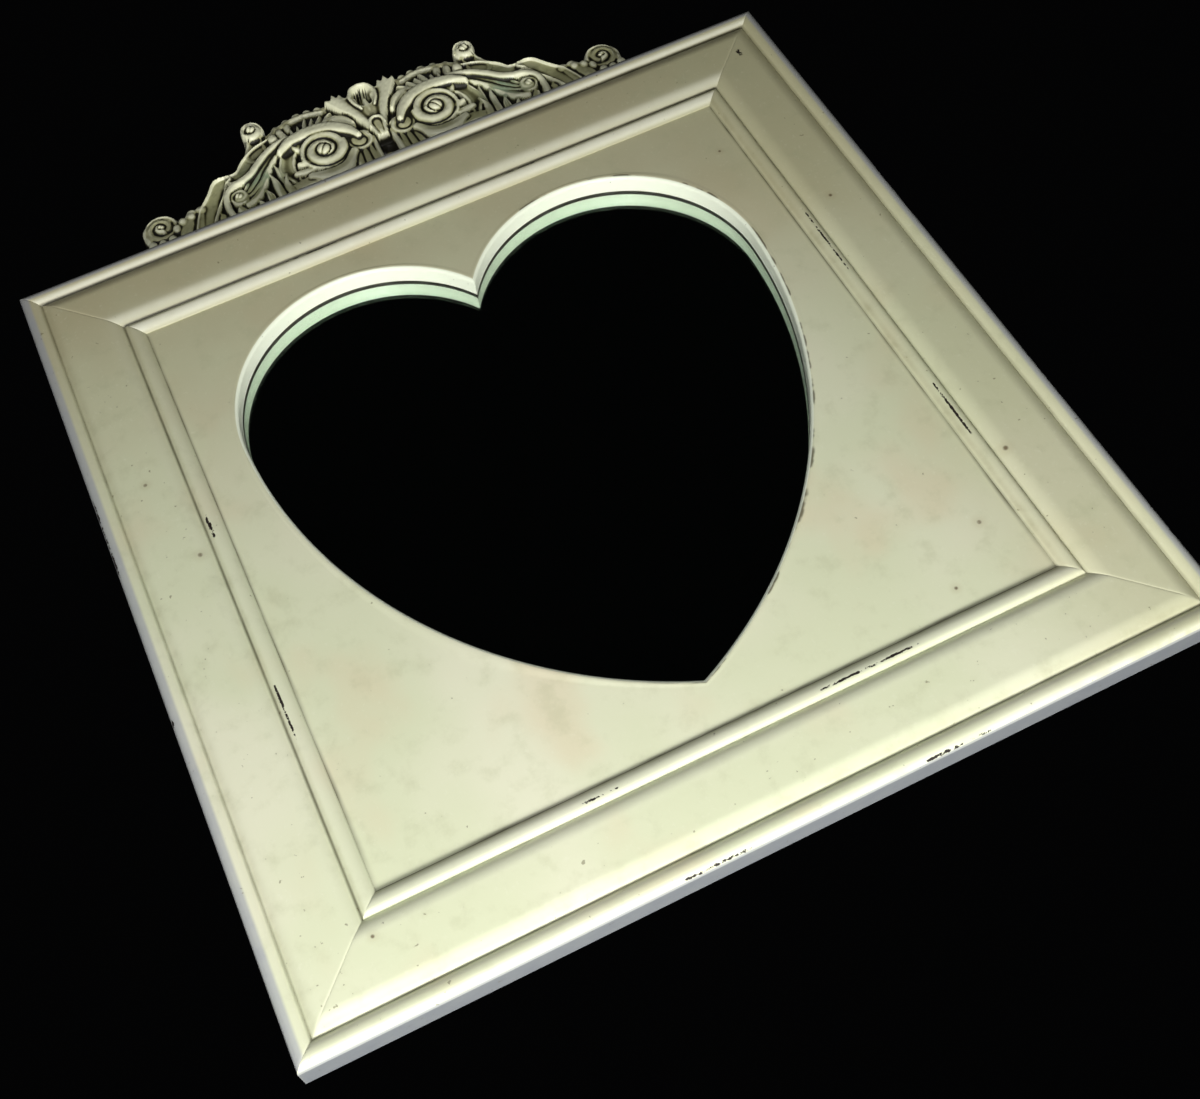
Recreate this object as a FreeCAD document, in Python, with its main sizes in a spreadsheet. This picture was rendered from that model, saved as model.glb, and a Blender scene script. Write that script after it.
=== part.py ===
"""Square wall mirror with a heart-shaped opening and a scrollwork crest.

A mitred moulding holds, from the front, a flat panel with a heart cut through it, a sheet of mirror
and a backing board.  Turn buttons keep the board in, two D-rings hang the frame and four rubber
bumpers hold it off the wall.  +Z is up, the mirror faces -Y and the wall is the plane Y = 0.  The
origin is on the wall, midway between the two points where the rings bear on their nails.
"""
import FreeCAD, Part
import Sketcher
import math
import os
from types import SimpleNamespace

SIZES = [
    # frame
    ("frame_width", 508, "frame, outside, left to right"),
    ("frame_height", 508, "frame, outside, bottom to top, without the crest"),
    ("rail_width", 63, "moulding, outer edge to sight edge"),
    ("edge_round", 3, "radius of the outer front edge"),
    ("lip_width", 11, "outer lip, from the outer edge to its groove"),
    ("bead_width", 11, "inner bead, from its groove to the sight edge"),
    ("bead_rise", 2, "bead above the groove"),
    ("groove_depth", 3, "grooves below the front of the moulding"),
    ("groove_width", 0.8, "flat bottom of a groove"),
    ("crown_round", 9, "width over which the crown rolls down to a groove"),
    ("rabbet_width", 8, "moulding that laps over the panel"),
    ("sight_wall", 1.5, "moulding left between the rabbet and the bottom of a groove"),
    # what the frame holds
    ("panel_thickness", 12, "heart panel"),
    ("glass_thickness", 3, "mirror"),
    ("board_thickness", 2.5, "backing board"),
    ("panel_play", 0.5, "gap all round between the rabbet and what it holds"),
    # heart opening, inside the sight edge of the moulding
    ("heart_side_margin", 27.5, "sight edge to the side of the heart"),
    ("heart_top_margin", 18.5, "sight edge to the top of a lobe"),
    ("heart_tip_margin", 27, "sight edge to the point of the heart"),
    ("lobe_share", 0.4587, "lobe centre, sideways, as a share of the heart's half width"),
    ("flank_share", 1.682, "radius of the long sides, as a share of the heart's half width"),
    ("heart_bevel", 2.5, "bevel round the front of the opening"),
    # hanging
    ("hang_drop", 150, "bearing points of the rings, below the top of the frame"),
    ("wall_gap", 6, "height of the rubber bumpers"),
    ("edge_inset", 15, "bumpers and hangers, centre to the outer edge"),
    ("ring_wire", 2.5, "D-ring wire, thickness"),
    ("ring_inside", 16, "D-ring, inside width"),
    ("ring_upright", 5, "straight part of the D-ring's sides"),
    ("ring_corner", 3, "D-ring corner, radius at the middle of the wire"),
    ("pin_play", 0.05, "radial play of the ring in its strap"),
    ("strap_width", 10, "hanger strap"),
    ("strap_length", 40, "hanger strap, below the ring's axis"),
    ("strap_plate", 1, "hanger strap, sheet thickness"),
    ("strap_hole_upper", 16.8, "hanger strap, first hole below the ring's axis"),
    ("strap_hole_lower", 32.8, "hanger strap, second hole below the ring's axis"),
    ("bumper_radius", 6.5, "rubber bumper, against the frame"),
    ("bumper_nose", 5.5, "rubber bumper, against the wall"),
    # turn buttons
    ("button_reach", 20, "turn button, pivot to tip"),
    ("button_width", 12, "turn button"),
    ("button_plate", 1.2, "turn button, thickness"),
    ("button_setback", 8, "pivot outside the edge of the rabbet"),
    ("button_spread", 140, "pivots to either side of the middle"),
    ("button_play", 0.1, "radial play of a button on its screw"),
    ("swing_gap", 0.3, "room above and below a turn button"),
    # screws and nails
    ("screw_radius", 1.5, "screw shank"),
    ("screw_length", 12, "screw, in the wood"),
    ("screw_head", 3, "screw head, radius"),
    ("screw_head_height", 1.6, "screw head"),
    ("screw_crown", 1.86, "flat top of a screw head, radius"),
    ("recess_width", 0.7, "arms of the cross recess"),
    ("recess_depth", 0.8, "cross recess"),
    ("nail_wing", 9, "V-nail, length of a wing"),
    ("nail_plate", 0.6, "V-nail, steel thickness"),
    ("nail_depth", 10, "V-nail, driven depth"),
    ("nail_outer", 18.9, "outer V-nails, inside the frame's sides"),
    ("nail_inner", 39.06, "inner V-nails, inside the frame's sides"),
    # crest
    ("crest_depth", 16, "body of the crest, back to front"),
    ("plinth_length", 322, "strip under the crest"),
    ("plinth_height", 7, "strip under the crest"),
    ("plinth_depth", 12, "strip under the crest, back to front"),
    ("end_volute_offset", 160, "end volutes, sideways"),
    ("end_volute_radius", 12, "end volutes"),
    ("end_volute_height", 18.5, "end volutes, centre above the frame"),
    ("main_volute_offset", 38.5, "main volutes, sideways"),
    ("main_volute_radius", 17, "main volutes"),
    ("main_volute_height", 27, "main volutes, centre above the frame"),
    ("knob_offset", 78, "upper scroll ends, sideways"),
    ("knob_radius", 8, "upper scroll ends"),
    ("knob_height", 70, "upper scroll ends, centre above the frame"),
    ("crest_relief", 19, "front of the volutes, from the back of the crest"),
    ("eyelet_height", 68, "ring at the top of the cartouche, centre above the frame"),
    ("eyelet_radius", 8, "ring at the top of the cartouche"),
    ("eyelet_hole", 3.2, "hole in that ring, radius"),
    ("kink_share", 0.86, "kink of the straps, as a share of the height of the main volutes"),
    ("strap_share", 1.6, "length of the flat part of a strap, in knob radii"),
    ("foot_share", 1.8, "foot of the end volutes above the frame, in plinth heights"),
    ("plate_width", 14, "joining plate"),
    ("plate_length", 44, "joining plate"),
    ("plate_thickness", 1.5, "joining plate"),
    ("plate_hole_inner", 6.16, "joining plate, inner holes above and below its middle"),
    ("plate_hole_outer", 16.72, "joining plate, outer holes above and below its middle"),
]


class Formula:
    """A number together with the spreadsheet expression that gives it."""

    def __init__(self, value, text=None):
        self.value = float(value)
        self.text = text or repr(self.value)

    def __add__(self, other):
        other = formula(other)
        return Formula(self.value + other.value, f"({self.text} + {other.text})")

    def __sub__(self, other):
        other = formula(other)
        return Formula(self.value - other.value, f"({self.text} - {other.text})")

    def __mul__(self, other):
        other = formula(other)
        return Formula(self.value * other.value, f"({self.text} * {other.text})")

    def __truediv__(self, other):
        other = formula(other)
        return Formula(self.value / other.value, f"({self.text} / {other.text})")

    def __neg__(self):
        return Formula(-self.value, f"(-1 * {self.text})")

    def __radd__(self, other):
        return formula(other) + self

    def __rsub__(self, other):
        return formula(other) - self

    def __rmul__(self, other):
        return formula(other) * self


def formula(number):
    return number if isinstance(number, Formula) else Formula(number)


def make_sheet(document):
    """Write the driving sizes into the sheet and return them as formulas."""
    sheet = document.addObject("Spreadsheet::Sheet", "sizes")
    for row, (alias, value, meaning) in enumerate(SIZES, start=1):
        sheet.set(f"A{row}", alias)
        sheet.set(f"B{row}", str(value))
        sheet.setAlias(f"B{row}", alias)
        sheet.set(f"C{row}", meaning)
    document.recompute()
    return SimpleNamespace(**{alias: Formula(value, f"sizes.{alias}") for alias, value, _ in SIZES})


doc = FreeCAD.newDocument("wall_mirror")
mm = make_sheet(doc)
X_AXIS = FreeCAD.Vector(1, 0, 0)
Y_AXIS = FreeCAD.Vector(0, 1, 0)
nodes = []

# places that several pieces share
back = -mm.wall_gap
top = mm.hang_drop
rabbet_depth = mm.panel_thickness + mm.glass_thickness + mm.board_thickness
rabbet_edge = mm.rail_width - mm.rabbet_width
frame_depth = rabbet_depth + mm.sight_wall + mm.groove_depth
half_width = mm.frame_width / 2
half_height = mm.frame_height / 2
middle = top - half_height
ring_radius = mm.ring_wire / 2
ring_half = mm.ring_inside / 2 + ring_radius
ring_axis_z = -(mm.ring_corner + mm.ring_upright + mm.ring_inside / 2)
knuckle_radius = ring_radius + mm.pin_play + mm.strap_plate
heart_half = half_width - mm.rail_width - mm.heart_side_margin
lobe_offset = heart_half * mm.lobe_share
lobe_radius = heart_half - lobe_offset
lobe_height = half_height - mm.rail_width - mm.heart_top_margin - lobe_radius
tip_drop = half_height - mm.rail_width - mm.heart_tip_margin
flank_radius = heart_half * mm.flank_share
strap_x = half_width - mm.edge_inset


# ---------------------------------------------------------------- helpers

def set_size(thing, **sizes):
    """Bind properties of an object to formulas."""
    for name, size in sizes.items():
        thing.setExpression(name, formula(size).text)


def place(thing, x=0, y=0, z=0, axis=Y_AXIS, angle=0):
    """Put an object at a place worked out from the sheet, turned about an axis."""
    at = [formula(value) for value in (x, y, z)]
    base = FreeCAD.Vector(*[value.value for value in at])
    thing.Placement = FreeCAD.Placement(base, FreeCAD.Rotation(axis, angle))
    for letter, value in zip("xyz", at):
        thing.setExpression(f"Placement.Base.{letter}", value.text)
    return thing


def primitive(kind, name, **sizes):
    thing = doc.addObject(f"Part::{kind}", name)
    set_size(thing, **sizes)
    return thing


def fuse(name, pieces):
    joined = doc.addObject("Part::MultiFuse", name)
    joined.Shapes = pieces
    joined.Refine = True
    return joined


def cut(name, base, tool):
    result = doc.addObject("Part::Cut", name)
    result.Base = base
    result.Tool = tool
    return result


def group(name, pieces):
    """Several separate solids kept as one sub-part."""
    together = doc.addObject("Part::Compound", name)
    together.Links = pieces
    return together


def keep(thing, label):
    """Mark an object as a sub-part; its label names its file."""
    thing.Label = label
    nodes.append(thing)
    return thing


def new_body(name):
    return doc.addObject("PartDesign::Body", name)


def origin_plane(body, role):
    return next(plane for plane in body.Origin.OriginFeatures if plane.Role == role)


def new_sketch(body, name, role):
    sketch = body.newObject("Sketcher::SketchObject", name)
    sketch.AttachmentSupport = [(origin_plane(body, role), "")]
    sketch.MapMode = "FlatFace"
    return sketch


def constrain(sketch, name, kind, *where):
    """Add a dimension whose last argument is a formula, and bind it."""
    size = formula(where[-1])
    sketch.addConstraint(Sketcher.Constraint(kind, *where[:-1], size.value))
    sketch.renameConstraint(sketch.ConstraintCount - 1, name)
    sketch.setExpression(f"Constraints.{name}", size.text)


def pin_point(sketch, name, geometry, end, x, y):
    """Hold one end of an edge at a point measured from the sketch's origin."""
    for letter, kind, axis, size in (("x", "DistanceX", -2, formula(x)), ("y", "DistanceY", -1, formula(y))):
        if size.value == 0:
            sketch.addConstraint(Sketcher.Constraint("PointOnObject", geometry, end, axis))
        else:
            constrain(sketch, f"{name}_{letter}", kind, -1, 1, geometry, end, size)


def arc_between(start, end, radius, turn):
    """The short arc from start to end; turn is +1 when it bends to the left and -1 to the right."""
    chord = end - start
    middle_point = (start + end) / 2
    left = FreeCAD.Vector(-chord.y, chord.x, 0).normalize()
    reach = math.sqrt(max(radius ** 2 - (chord.Length / 2) ** 2, 0))
    centre = middle_point + left * reach * turn
    first, last = (start, end) if turn > 0 else (end, start)
    angles = [math.atan2(point.y - centre.y, point.x - centre.x) for point in (first, last)]
    circle = Part.Circle(centre, FreeCAD.Vector(0, 0, 1), radius)
    return Part.ArcOfCircle(circle, angles[0], angles[1])


def outline(body, name, role, corners):
    """A closed sketch.  Each corner is (x, y) for a straight edge that leaves it, or
    (x, y, radius, turn) for an arc."""
    sketch = new_sketch(body, name, role)
    points = [FreeCAD.Vector(formula(c[0]).value, formula(c[1]).value, 0) for c in corners]
    ends = []
    for index, corner in enumerate(corners):
        start, end = points[index], points[(index + 1) % len(points)]
        if len(corner) == 2:
            edge = sketch.addGeometry(Part.LineSegment(start, end))
            ends.append((edge, 1, 2))
        else:
            radius, turn = formula(corner[2]), corner[3]
            edge = sketch.addGeometry(arc_between(start, end, radius.value, turn))
            ends.append((edge, 1, 2) if turn > 0 else (edge, 2, 1))
    for index, (edge, first, last) in enumerate(ends):
        following, following_first, _ = ends[(index + 1) % len(ends)]
        sketch.addConstraint(Sketcher.Constraint("Coincident", edge, last, following, following_first))
        pin_point(sketch, f"corner{index}", edge, first, corners[index][0], corners[index][1])
        if len(corners[index]) > 2:
            constrain(sketch, f"radius{index}", "Radius", edge, corners[index][2])
    return sketch


def pad(body, sketch, length, midplane=False):
    feature = body.newObject("PartDesign::Pad", f"{sketch.Name}_pad")
    feature.Profile = sketch
    feature.Midplane = midplane
    set_size(feature, Length=length)
    sketch.Visibility = False
    return feature


def pocket_through(body, sketch, reverse):
    feature = body.newObject("PartDesign::Pocket", f"{sketch.Name}_pocket")
    feature.Profile = sketch
    feature.Type = "ThroughAll"
    feature.Reversed = reverse
    return feature


def mirrored(body, features):
    """Repeat features on the other side of X = 0."""
    feature = body.newObject("PartDesign::Mirrored", f"{body.Name}_mirrored")
    feature.Originals = features
    feature.MirrorPlane = (origin_plane(body, "YZ_Plane"), [""])
    body.Tip = feature
    return feature


def both_halves(name, half):
    """A half that ends on X = 0, joined to its mirror image."""
    image = doc.addObject("Part::Mirroring", f"{name}_image")
    image.Source = half
    image.Normal = X_AXIS
    return fuse(f"{name}_halves", [half, image])


def roll(width, rise):
    """Radius of an arc that starts level and falls by rise over width."""
    return (width * width + rise * rise) / (rise * 2)


# ---------------------------------------------------------------- screws and nails

def make_screw_pattern():
    """One screw: its head stands on Y = 0 towards +Y, its shank runs towards -Y."""
    lower = mm.screw_length
    shank = primitive("Cylinder", "shank", Radius=mm.screw_radius, Height=lower + mm.screw_head_height / 2)
    place(shank, y=-lower, axis=X_AXIS, angle=-90)
    head = primitive("Cone", "screw_head", Radius1=mm.screw_head, Radius2=mm.screw_crown,
                     Height=mm.screw_head_height)
    place(head, axis=X_AXIS, angle=-90)
    arm = mm.screw_head * 1.1
    arms = []
    for name, length, height in (("arm_across", arm, mm.recess_width), ("arm_up", mm.recess_width, arm)):
        box = primitive("Box", name, Length=length, Width=mm.recess_depth * 2, Height=height)
        place(box, x=-length / 2, y=mm.screw_head_height - mm.recess_depth, z=-height / 2)
        arms.append(box)
    return cut("screw_pattern", fuse("screw_blank", [shank, head]), fuse("cross_recess", arms))


screw_pattern = make_screw_pattern()


def screws(name, places, seat):
    """A group of screws whose heads bear on the plane Y = seat."""
    links = []
    for index, (x, z) in enumerate(places):
        link = doc.addObject("App::Link", f"{name}_{index + 1}")
        link.LinkedObject = screw_pattern
        links.append(place(link, x=x, y=seat, z=z))
    return keep(group(name, links), name)


button_line_x = half_width - rabbet_edge + mm.button_setback
button_line_z = half_height - rabbet_edge + mm.button_setback
BUTTONS = [
    # name, pivot from the middle of the frame, turn about Y that points the tip inwards
    ("top_left", -mm.button_spread, button_line_z, 0),
    ("top_right", mm.button_spread, button_line_z, 0),
    ("right_upper", button_line_x, mm.button_spread, 90),
    ("right_lower", button_line_x, -mm.button_spread, 90),
    ("bottom_right", mm.button_spread, -button_line_z, 180),
    ("bottom_left", -mm.button_spread, -button_line_z, 180),
    ("left_lower", -button_line_x, -mm.button_spread, 270),
    ("left_upper", -button_line_x, mm.button_spread, 270),
]
button_back = back + mm.swing_gap
button_screws = screws("turn_button_screws", [(x, middle + z) for _, x, z, _ in BUTTONS],
                       button_back + mm.button_plate + mm.swing_gap)

strap_screw_drops = [mm.strap_hole_upper, mm.strap_hole_lower]
hanger_screws = screws("hanger_screws",
                       [(x, ring_axis_z - drop) for x in (-strap_x, strap_x) for drop in strap_screw_drops],
                       back + mm.strap_plate)

plate_rows = [mm.plate_hole_outer * -1, mm.plate_hole_inner * -1, mm.plate_hole_inner, mm.plate_hole_outer]
crest_screws = screws("crest_plate_screws",
                      [(x, top + row) for x in (-mm.main_volute_offset, mm.main_volute_offset)
                       for row in plate_rows],
                      back + mm.plate_thickness)


def make_nails():
    """V-nails driven from the back across each mitre, two to a corner."""
    wings = []
    for name, angle in (("nail_wing_one", 45), ("nail_wing_two", 135)):
        wing = primitive("Box", name, Length=mm.nail_wing, Width=mm.nail_depth, Height=mm.nail_plate)
        wings.append(place(wing, angle=angle))
    pattern = fuse("nail_pattern", wings)
    links = []
    for side_x, side_z, angle in ((1, 1, 0), (1, -1, 90), (-1, -1, 180), (-1, 1, 270)):
        for inset in (mm.nail_outer, mm.nail_inner):
            link = doc.addObject("App::Link", f"v_nail_{len(links) + 1}")
            link.LinkedObject = pattern
            place(link, x=(half_width - inset) * side_x, y=back - mm.nail_depth,
                  z=middle + (half_height - inset) * side_z, angle=angle - 45)
            links.append(link)
    return keep(group("corner_v_nails", links), "corner_v_nails")


nails = make_nails()
frame_fasteners = group("frame_fasteners", [button_screws, hanger_screws, crest_screws, nails])


# ---------------------------------------------------------------- mitred rails

def moulding_section(half_span):
    """Corners of the moulding, as (distance forward of the back, distance from the outer edge)."""
    front = frame_depth
    groove = frame_depth - mm.groove_depth
    crown_start = mm.lip_width + mm.groove_width
    crown_end = mm.rail_width - mm.bead_width
    bead_start = crown_end + mm.groove_width
    bead_half = (mm.bead_width - mm.groove_width) / 2
    crown_arc = roll(mm.crown_round, mm.groove_depth)
    corners = [
        (0, 0),
        (front - mm.edge_round, 0, mm.edge_round, 1),
        (front, mm.edge_round, roll(mm.lip_width - mm.edge_round, mm.groove_depth), 1),
        (groove, mm.lip_width),
        (groove, crown_start, crown_arc, 1),
        (front, crown_start + mm.crown_round),
        (front, crown_end - mm.crown_round, crown_arc, 1),
        (groove, crown_end),
        (groove, bead_start, roll(bead_half, mm.bead_rise), 1),
        (groove, mm.rail_width),
        (rabbet_depth, mm.rail_width),
        (rabbet_depth, rabbet_edge),
        (0, rabbet_edge),
    ]
    return [(-formula(forward), half_span - across, *rest) for forward, across, *rest in corners]


def make_rail(name, half_span, half_length, angle):
    """A length of moulding with both ends mitred, turned into its place round the frame."""
    body = new_body(f"{name}_stick")
    section = outline(body, f"{name}_section", "YZ_Plane", moulding_section(half_span))
    pad(body, section, half_length * 2, midplane=True)
    slope_end = half_length - mm.rail_width
    spare = frame_depth
    mitre = outline(body, f"{name}_mitre", "XZ_Plane", [
        (half_length, half_span),
        (slope_end, half_span - mm.rail_width),
        (slope_end, half_span - mm.rail_width - spare),
        (half_length + spare, half_span - mm.rail_width - spare),
        (half_length + spare, half_span),
    ])
    end = pocket_through(body, mitre, reverse=True)
    mirrored(body, [end])
    place(body, y=back, z=middle, angle=angle)
    keep(cut(f"{name}_drilled", body, frame_fasteners), name)


make_rail("top_rail", half_height, half_width, 0)
make_rail("right_rail", half_width, half_height, 90)
make_rail("bottom_rail", half_height, half_width, 180)
make_rail("left_rail", half_width, half_height, 270)


# ---------------------------------------------------------------- panel, mirror and board

def fitted_corners():
    """Corners of a sheet that fits the rabbet."""
    x = half_width - rabbet_edge - mm.panel_play
    z = half_height - rabbet_edge - mm.panel_play
    return [(-x, -z), (x, -z), (x, z), (-x, z)]


def make_sheet_part(name, thickness, forward):
    """A plain rectangular sheet whose back is the stated distance in front of the frame's back."""
    body = new_body(f"{name}_body")
    pad(body, outline(body, f"{name}_outline", "XZ_Plane", fitted_corners()), thickness)
    place(body, y=back - forward, z=middle)
    return keep(body, name)


def half_heart(body):
    """Right half of the heart: a lobe, a long flank tangent to it, and the middle line."""
    lobe = FreeCAD.Vector(lobe_offset.value, lobe_height.value, 0)
    tip = FreeCAD.Vector(0, -tip_drop.value, 0)
    lobe_r, flank_r = lobe_radius.value, flank_radius.value
    # the flank's centre is flank_r from the tip and flank_r - lobe_r from the lobe's centre
    across = tip - lobe
    reach, step = across.Length, flank_r - lobe_r
    along = (step ** 2 - flank_r ** 2 + reach ** 2) / (2 * reach)
    unit = across / reach
    offset = math.sqrt(step ** 2 - along ** 2)
    flank = lobe + unit * along + FreeCAD.Vector(unit.y, -unit.x, 0) * offset
    joint = lobe + (lobe - flank).normalize() * lobe_r
    notch = FreeCAD.Vector(0, lobe.y + math.sqrt(lobe_r ** 2 - lobe.x ** 2), 0)

    def arc(centre, radius, first, last):
        angles = [math.atan2(point.y - centre.y, point.x - centre.x) for point in (first, last)]
        return Part.ArcOfCircle(Part.Circle(centre, FreeCAD.Vector(0, 0, 1), radius), *angles)

    sketch = new_sketch(body, "half_heart", "XZ_Plane")
    lobe_arc = sketch.addGeometry(arc(lobe, lobe_r, joint, notch))
    flank_arc = sketch.addGeometry(arc(flank, flank_r, tip, joint))
    middle_line = sketch.addGeometry(Part.LineSegment(notch, tip))
    for parts in (("Tangent", flank_arc, 2, lobe_arc, 1), ("Coincident", lobe_arc, 2, middle_line, 1),
                  ("Coincident", middle_line, 2, flank_arc, 1), ("PointOnObject", middle_line, 1, -2)):
        sketch.addConstraint(Sketcher.Constraint(*parts))
    pin_point(sketch, "lobe_centre", lobe_arc, 3, lobe_offset, lobe_height)
    pin_point(sketch, "tip", middle_line, 2, 0, -tip_drop)
    constrain(sketch, "lobe_radius", "Radius", lobe_arc, lobe_radius)
    constrain(sketch, "flank_radius", "Radius", flank_arc, flank_radius)
    return sketch


def make_heart_panel():
    """The flat panel with the heart cut through it and its front arris bevelled: one half, mirrored."""
    body = new_body("heart_panel_body")
    corners = [(0, z) if x.value < 0 else (x, z) for x, z in fitted_corners()]
    blank = pad(body, outline(body, "panel_outline", "XZ_Plane", corners), mm.panel_thickness)
    opened = pocket_through(body, half_heart(body), reverse=True)
    doc.recompute()
    if opened.Shape.Volume > blank.Shape.Volume * 0.9:
        raise RuntimeError("the heart did not cut through the panel")
    front = -mm.panel_thickness.value
    rim = []
    for index, edge in enumerate(opened.Shape.Edges, start=1):
        box = edge.BoundBox
        if isinstance(edge.Curve, Part.Circle) and box.YMax < front + 1e-6:
            rim.append(f"Edge{index}")
    bevel = body.newObject("PartDesign::Chamfer", "heart_rim")
    bevel.Base = (opened, rim)
    set_size(bevel, Size=mm.heart_bevel)
    place(body, y=back - mm.board_thickness - mm.glass_thickness, z=middle)
    return keep(both_halves("heart_panel", body), "heart_panel")


make_heart_panel()
make_sheet_part("mirror_glass", mm.glass_thickness, mm.board_thickness)
make_sheet_part("backing_board", mm.board_thickness, 0)


# ---------------------------------------------------------------- turn buttons

def make_button(name, x, z, angle):
    """A flat strip with rounded ends that turns on its screw; at rest its tip laps the board."""
    side = mm.button_width / 2
    corner = side * 0.8
    tail = side
    tip = -mm.button_reach
    body = new_body(f"turn_button_{name}_body")
    shape = outline(body, f"turn_button_{name}_outline", "XZ_Plane", [
        (side, tip + corner),
        (side, tail - corner, corner, 1),
        (side - corner, tail),
        (-side + corner, tail, corner, 1),
        (-side, tail - corner),
        (-side, tip + corner, corner, 1),
        (-side + corner, tip),
        (side - corner, tip, corner, 1),
    ])
    pad(body, shape, mm.button_plate)
    hole = new_sketch(body, f"turn_button_{name}_hole", "XZ_Plane")
    radius = mm.screw_radius + mm.button_play
    circle = hole.addGeometry(Part.Circle(FreeCAD.Vector(0, 0, 0), FreeCAD.Vector(0, 0, 1), radius.value))
    hole.addConstraint(Sketcher.Constraint("Coincident", circle, 3, -1, 1))
    constrain(hole, "hole_radius", "Radius", circle, radius)
    pocket_through(body, hole, reverse=True)
    place(body, x=x, y=button_back + mm.button_plate, z=middle + z, angle=angle)
    keep(body, f"turn_button_{name}")


for button in BUTTONS:
    make_button(*button)


# ---------------------------------------------------------------- hangers and bumpers

def make_strap(side, x):
    """A strap folded round the ring's straight side, with two screw holes."""
    name = f"hanger_strap_{side}"
    axis_y = back + knuckle_radius
    plate = primitive("Box", f"{name}_plate", Length=mm.strap_width, Width=mm.strap_plate,
                      Height=mm.strap_length)
    place(plate, x=x - mm.strap_width / 2, y=back, z=ring_axis_z - mm.strap_length)
    knuckle = primitive("Cylinder", f"{name}_knuckle", Radius=knuckle_radius, Height=mm.strap_width)
    place(knuckle, x=x - mm.strap_width / 2, y=axis_y, z=ring_axis_z, angle=90)
    bore = primitive("Cylinder", f"{name}_bore", Radius=ring_radius + mm.pin_play,
                     Height=mm.strap_width * 2)
    place(bore, x=x - mm.strap_width, y=axis_y, z=ring_axis_z, angle=90)
    openings = [bore]
    for index, drop in enumerate(strap_screw_drops):
        hole = primitive("Cylinder", f"{name}_hole_{index + 1}", Radius=mm.screw_radius,
                         Height=mm.strap_plate * 3)
        openings.append(place(hole, x=x, y=back - mm.strap_plate, z=ring_axis_z - drop,
                              axis=X_AXIS, angle=-90))
    solid = fuse(f"{name}_blank", [plate, knuckle])
    keep(cut(f"{name}_cut", solid, fuse(f"{name}_openings", openings)), name)


def make_ring(side, x):
    """A D-ring: a straight side in the strap, two corners, two uprights and a round top."""
    name = f"hanger_ring_{side}"
    y = back + knuckle_radius
    leg_half = ring_half - mm.ring_corner
    pieces = []

    def rod(part, length, at_x, at_z, angle):
        bar = primitive("Cylinder", f"{name}_{part}", Radius=ring_radius, Height=length)
        pieces.append(place(bar, x=at_x, y=y, z=at_z, angle=angle))

    def bend(part, radius, at_x, at_z, turn, sweep):
        # a torus lies in its own XY plane, so it is stood up first and then turned about Y
        curve = primitive("Torus", f"{name}_{part}", Radius1=radius, Radius2=ring_radius)
        curve.Angle3 = sweep
        place(curve, x=at_x, y=y, z=at_z)
        stand = FreeCAD.Rotation(X_AXIS, 90)
        curve.Placement = FreeCAD.Placement(curve.Placement.Base, FreeCAD.Rotation(Y_AXIS, turn) * stand)
        pieces.append(curve)

    bottom = ring_axis_z
    shoulder = ring_axis_z + mm.ring_corner
    spring = shoulder + mm.ring_upright
    rod("leg", leg_half * 2, x - leg_half, bottom, 90)
    rod("left", mm.ring_upright, x - ring_half, shoulder, 0)
    rod("right", mm.ring_upright, x + ring_half, shoulder, 0)
    bend("top", ring_half, x, spring, 0, 180)
    bend("corner_left", mm.ring_corner, x - leg_half, shoulder, -180, 90)
    bend("corner_right", mm.ring_corner, x + leg_half, shoulder, 90, 90)
    keep(fuse(f"{name}_wire", pieces), name)


def make_bumper(name, x, z):
    bumper = primitive("Cone", f"bumper_{name}_cone", Radius1=mm.bumper_radius, Radius2=mm.bumper_nose,
                       Height=mm.wall_gap)
    place(bumper, x=x, y=back, z=z, axis=X_AXIS, angle=-90)
    keep(bumper, f"bumper_{name}")


for side_name, strap_place in (("left", -strap_x), ("right", strap_x)):
    make_strap(side_name, strap_place)
    make_ring(side_name, strap_place)
for bumper_name, side_x, side_z in (("top_left", -1, 1), ("top_right", 1, 1),
                                    ("bottom_left", -1, -1), ("bottom_right", 1, -1)):
    make_bumper(bumper_name, strap_x * side_x, middle + (half_height - mm.edge_inset) * side_z)


# ---------------------------------------------------------------- crest

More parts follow.
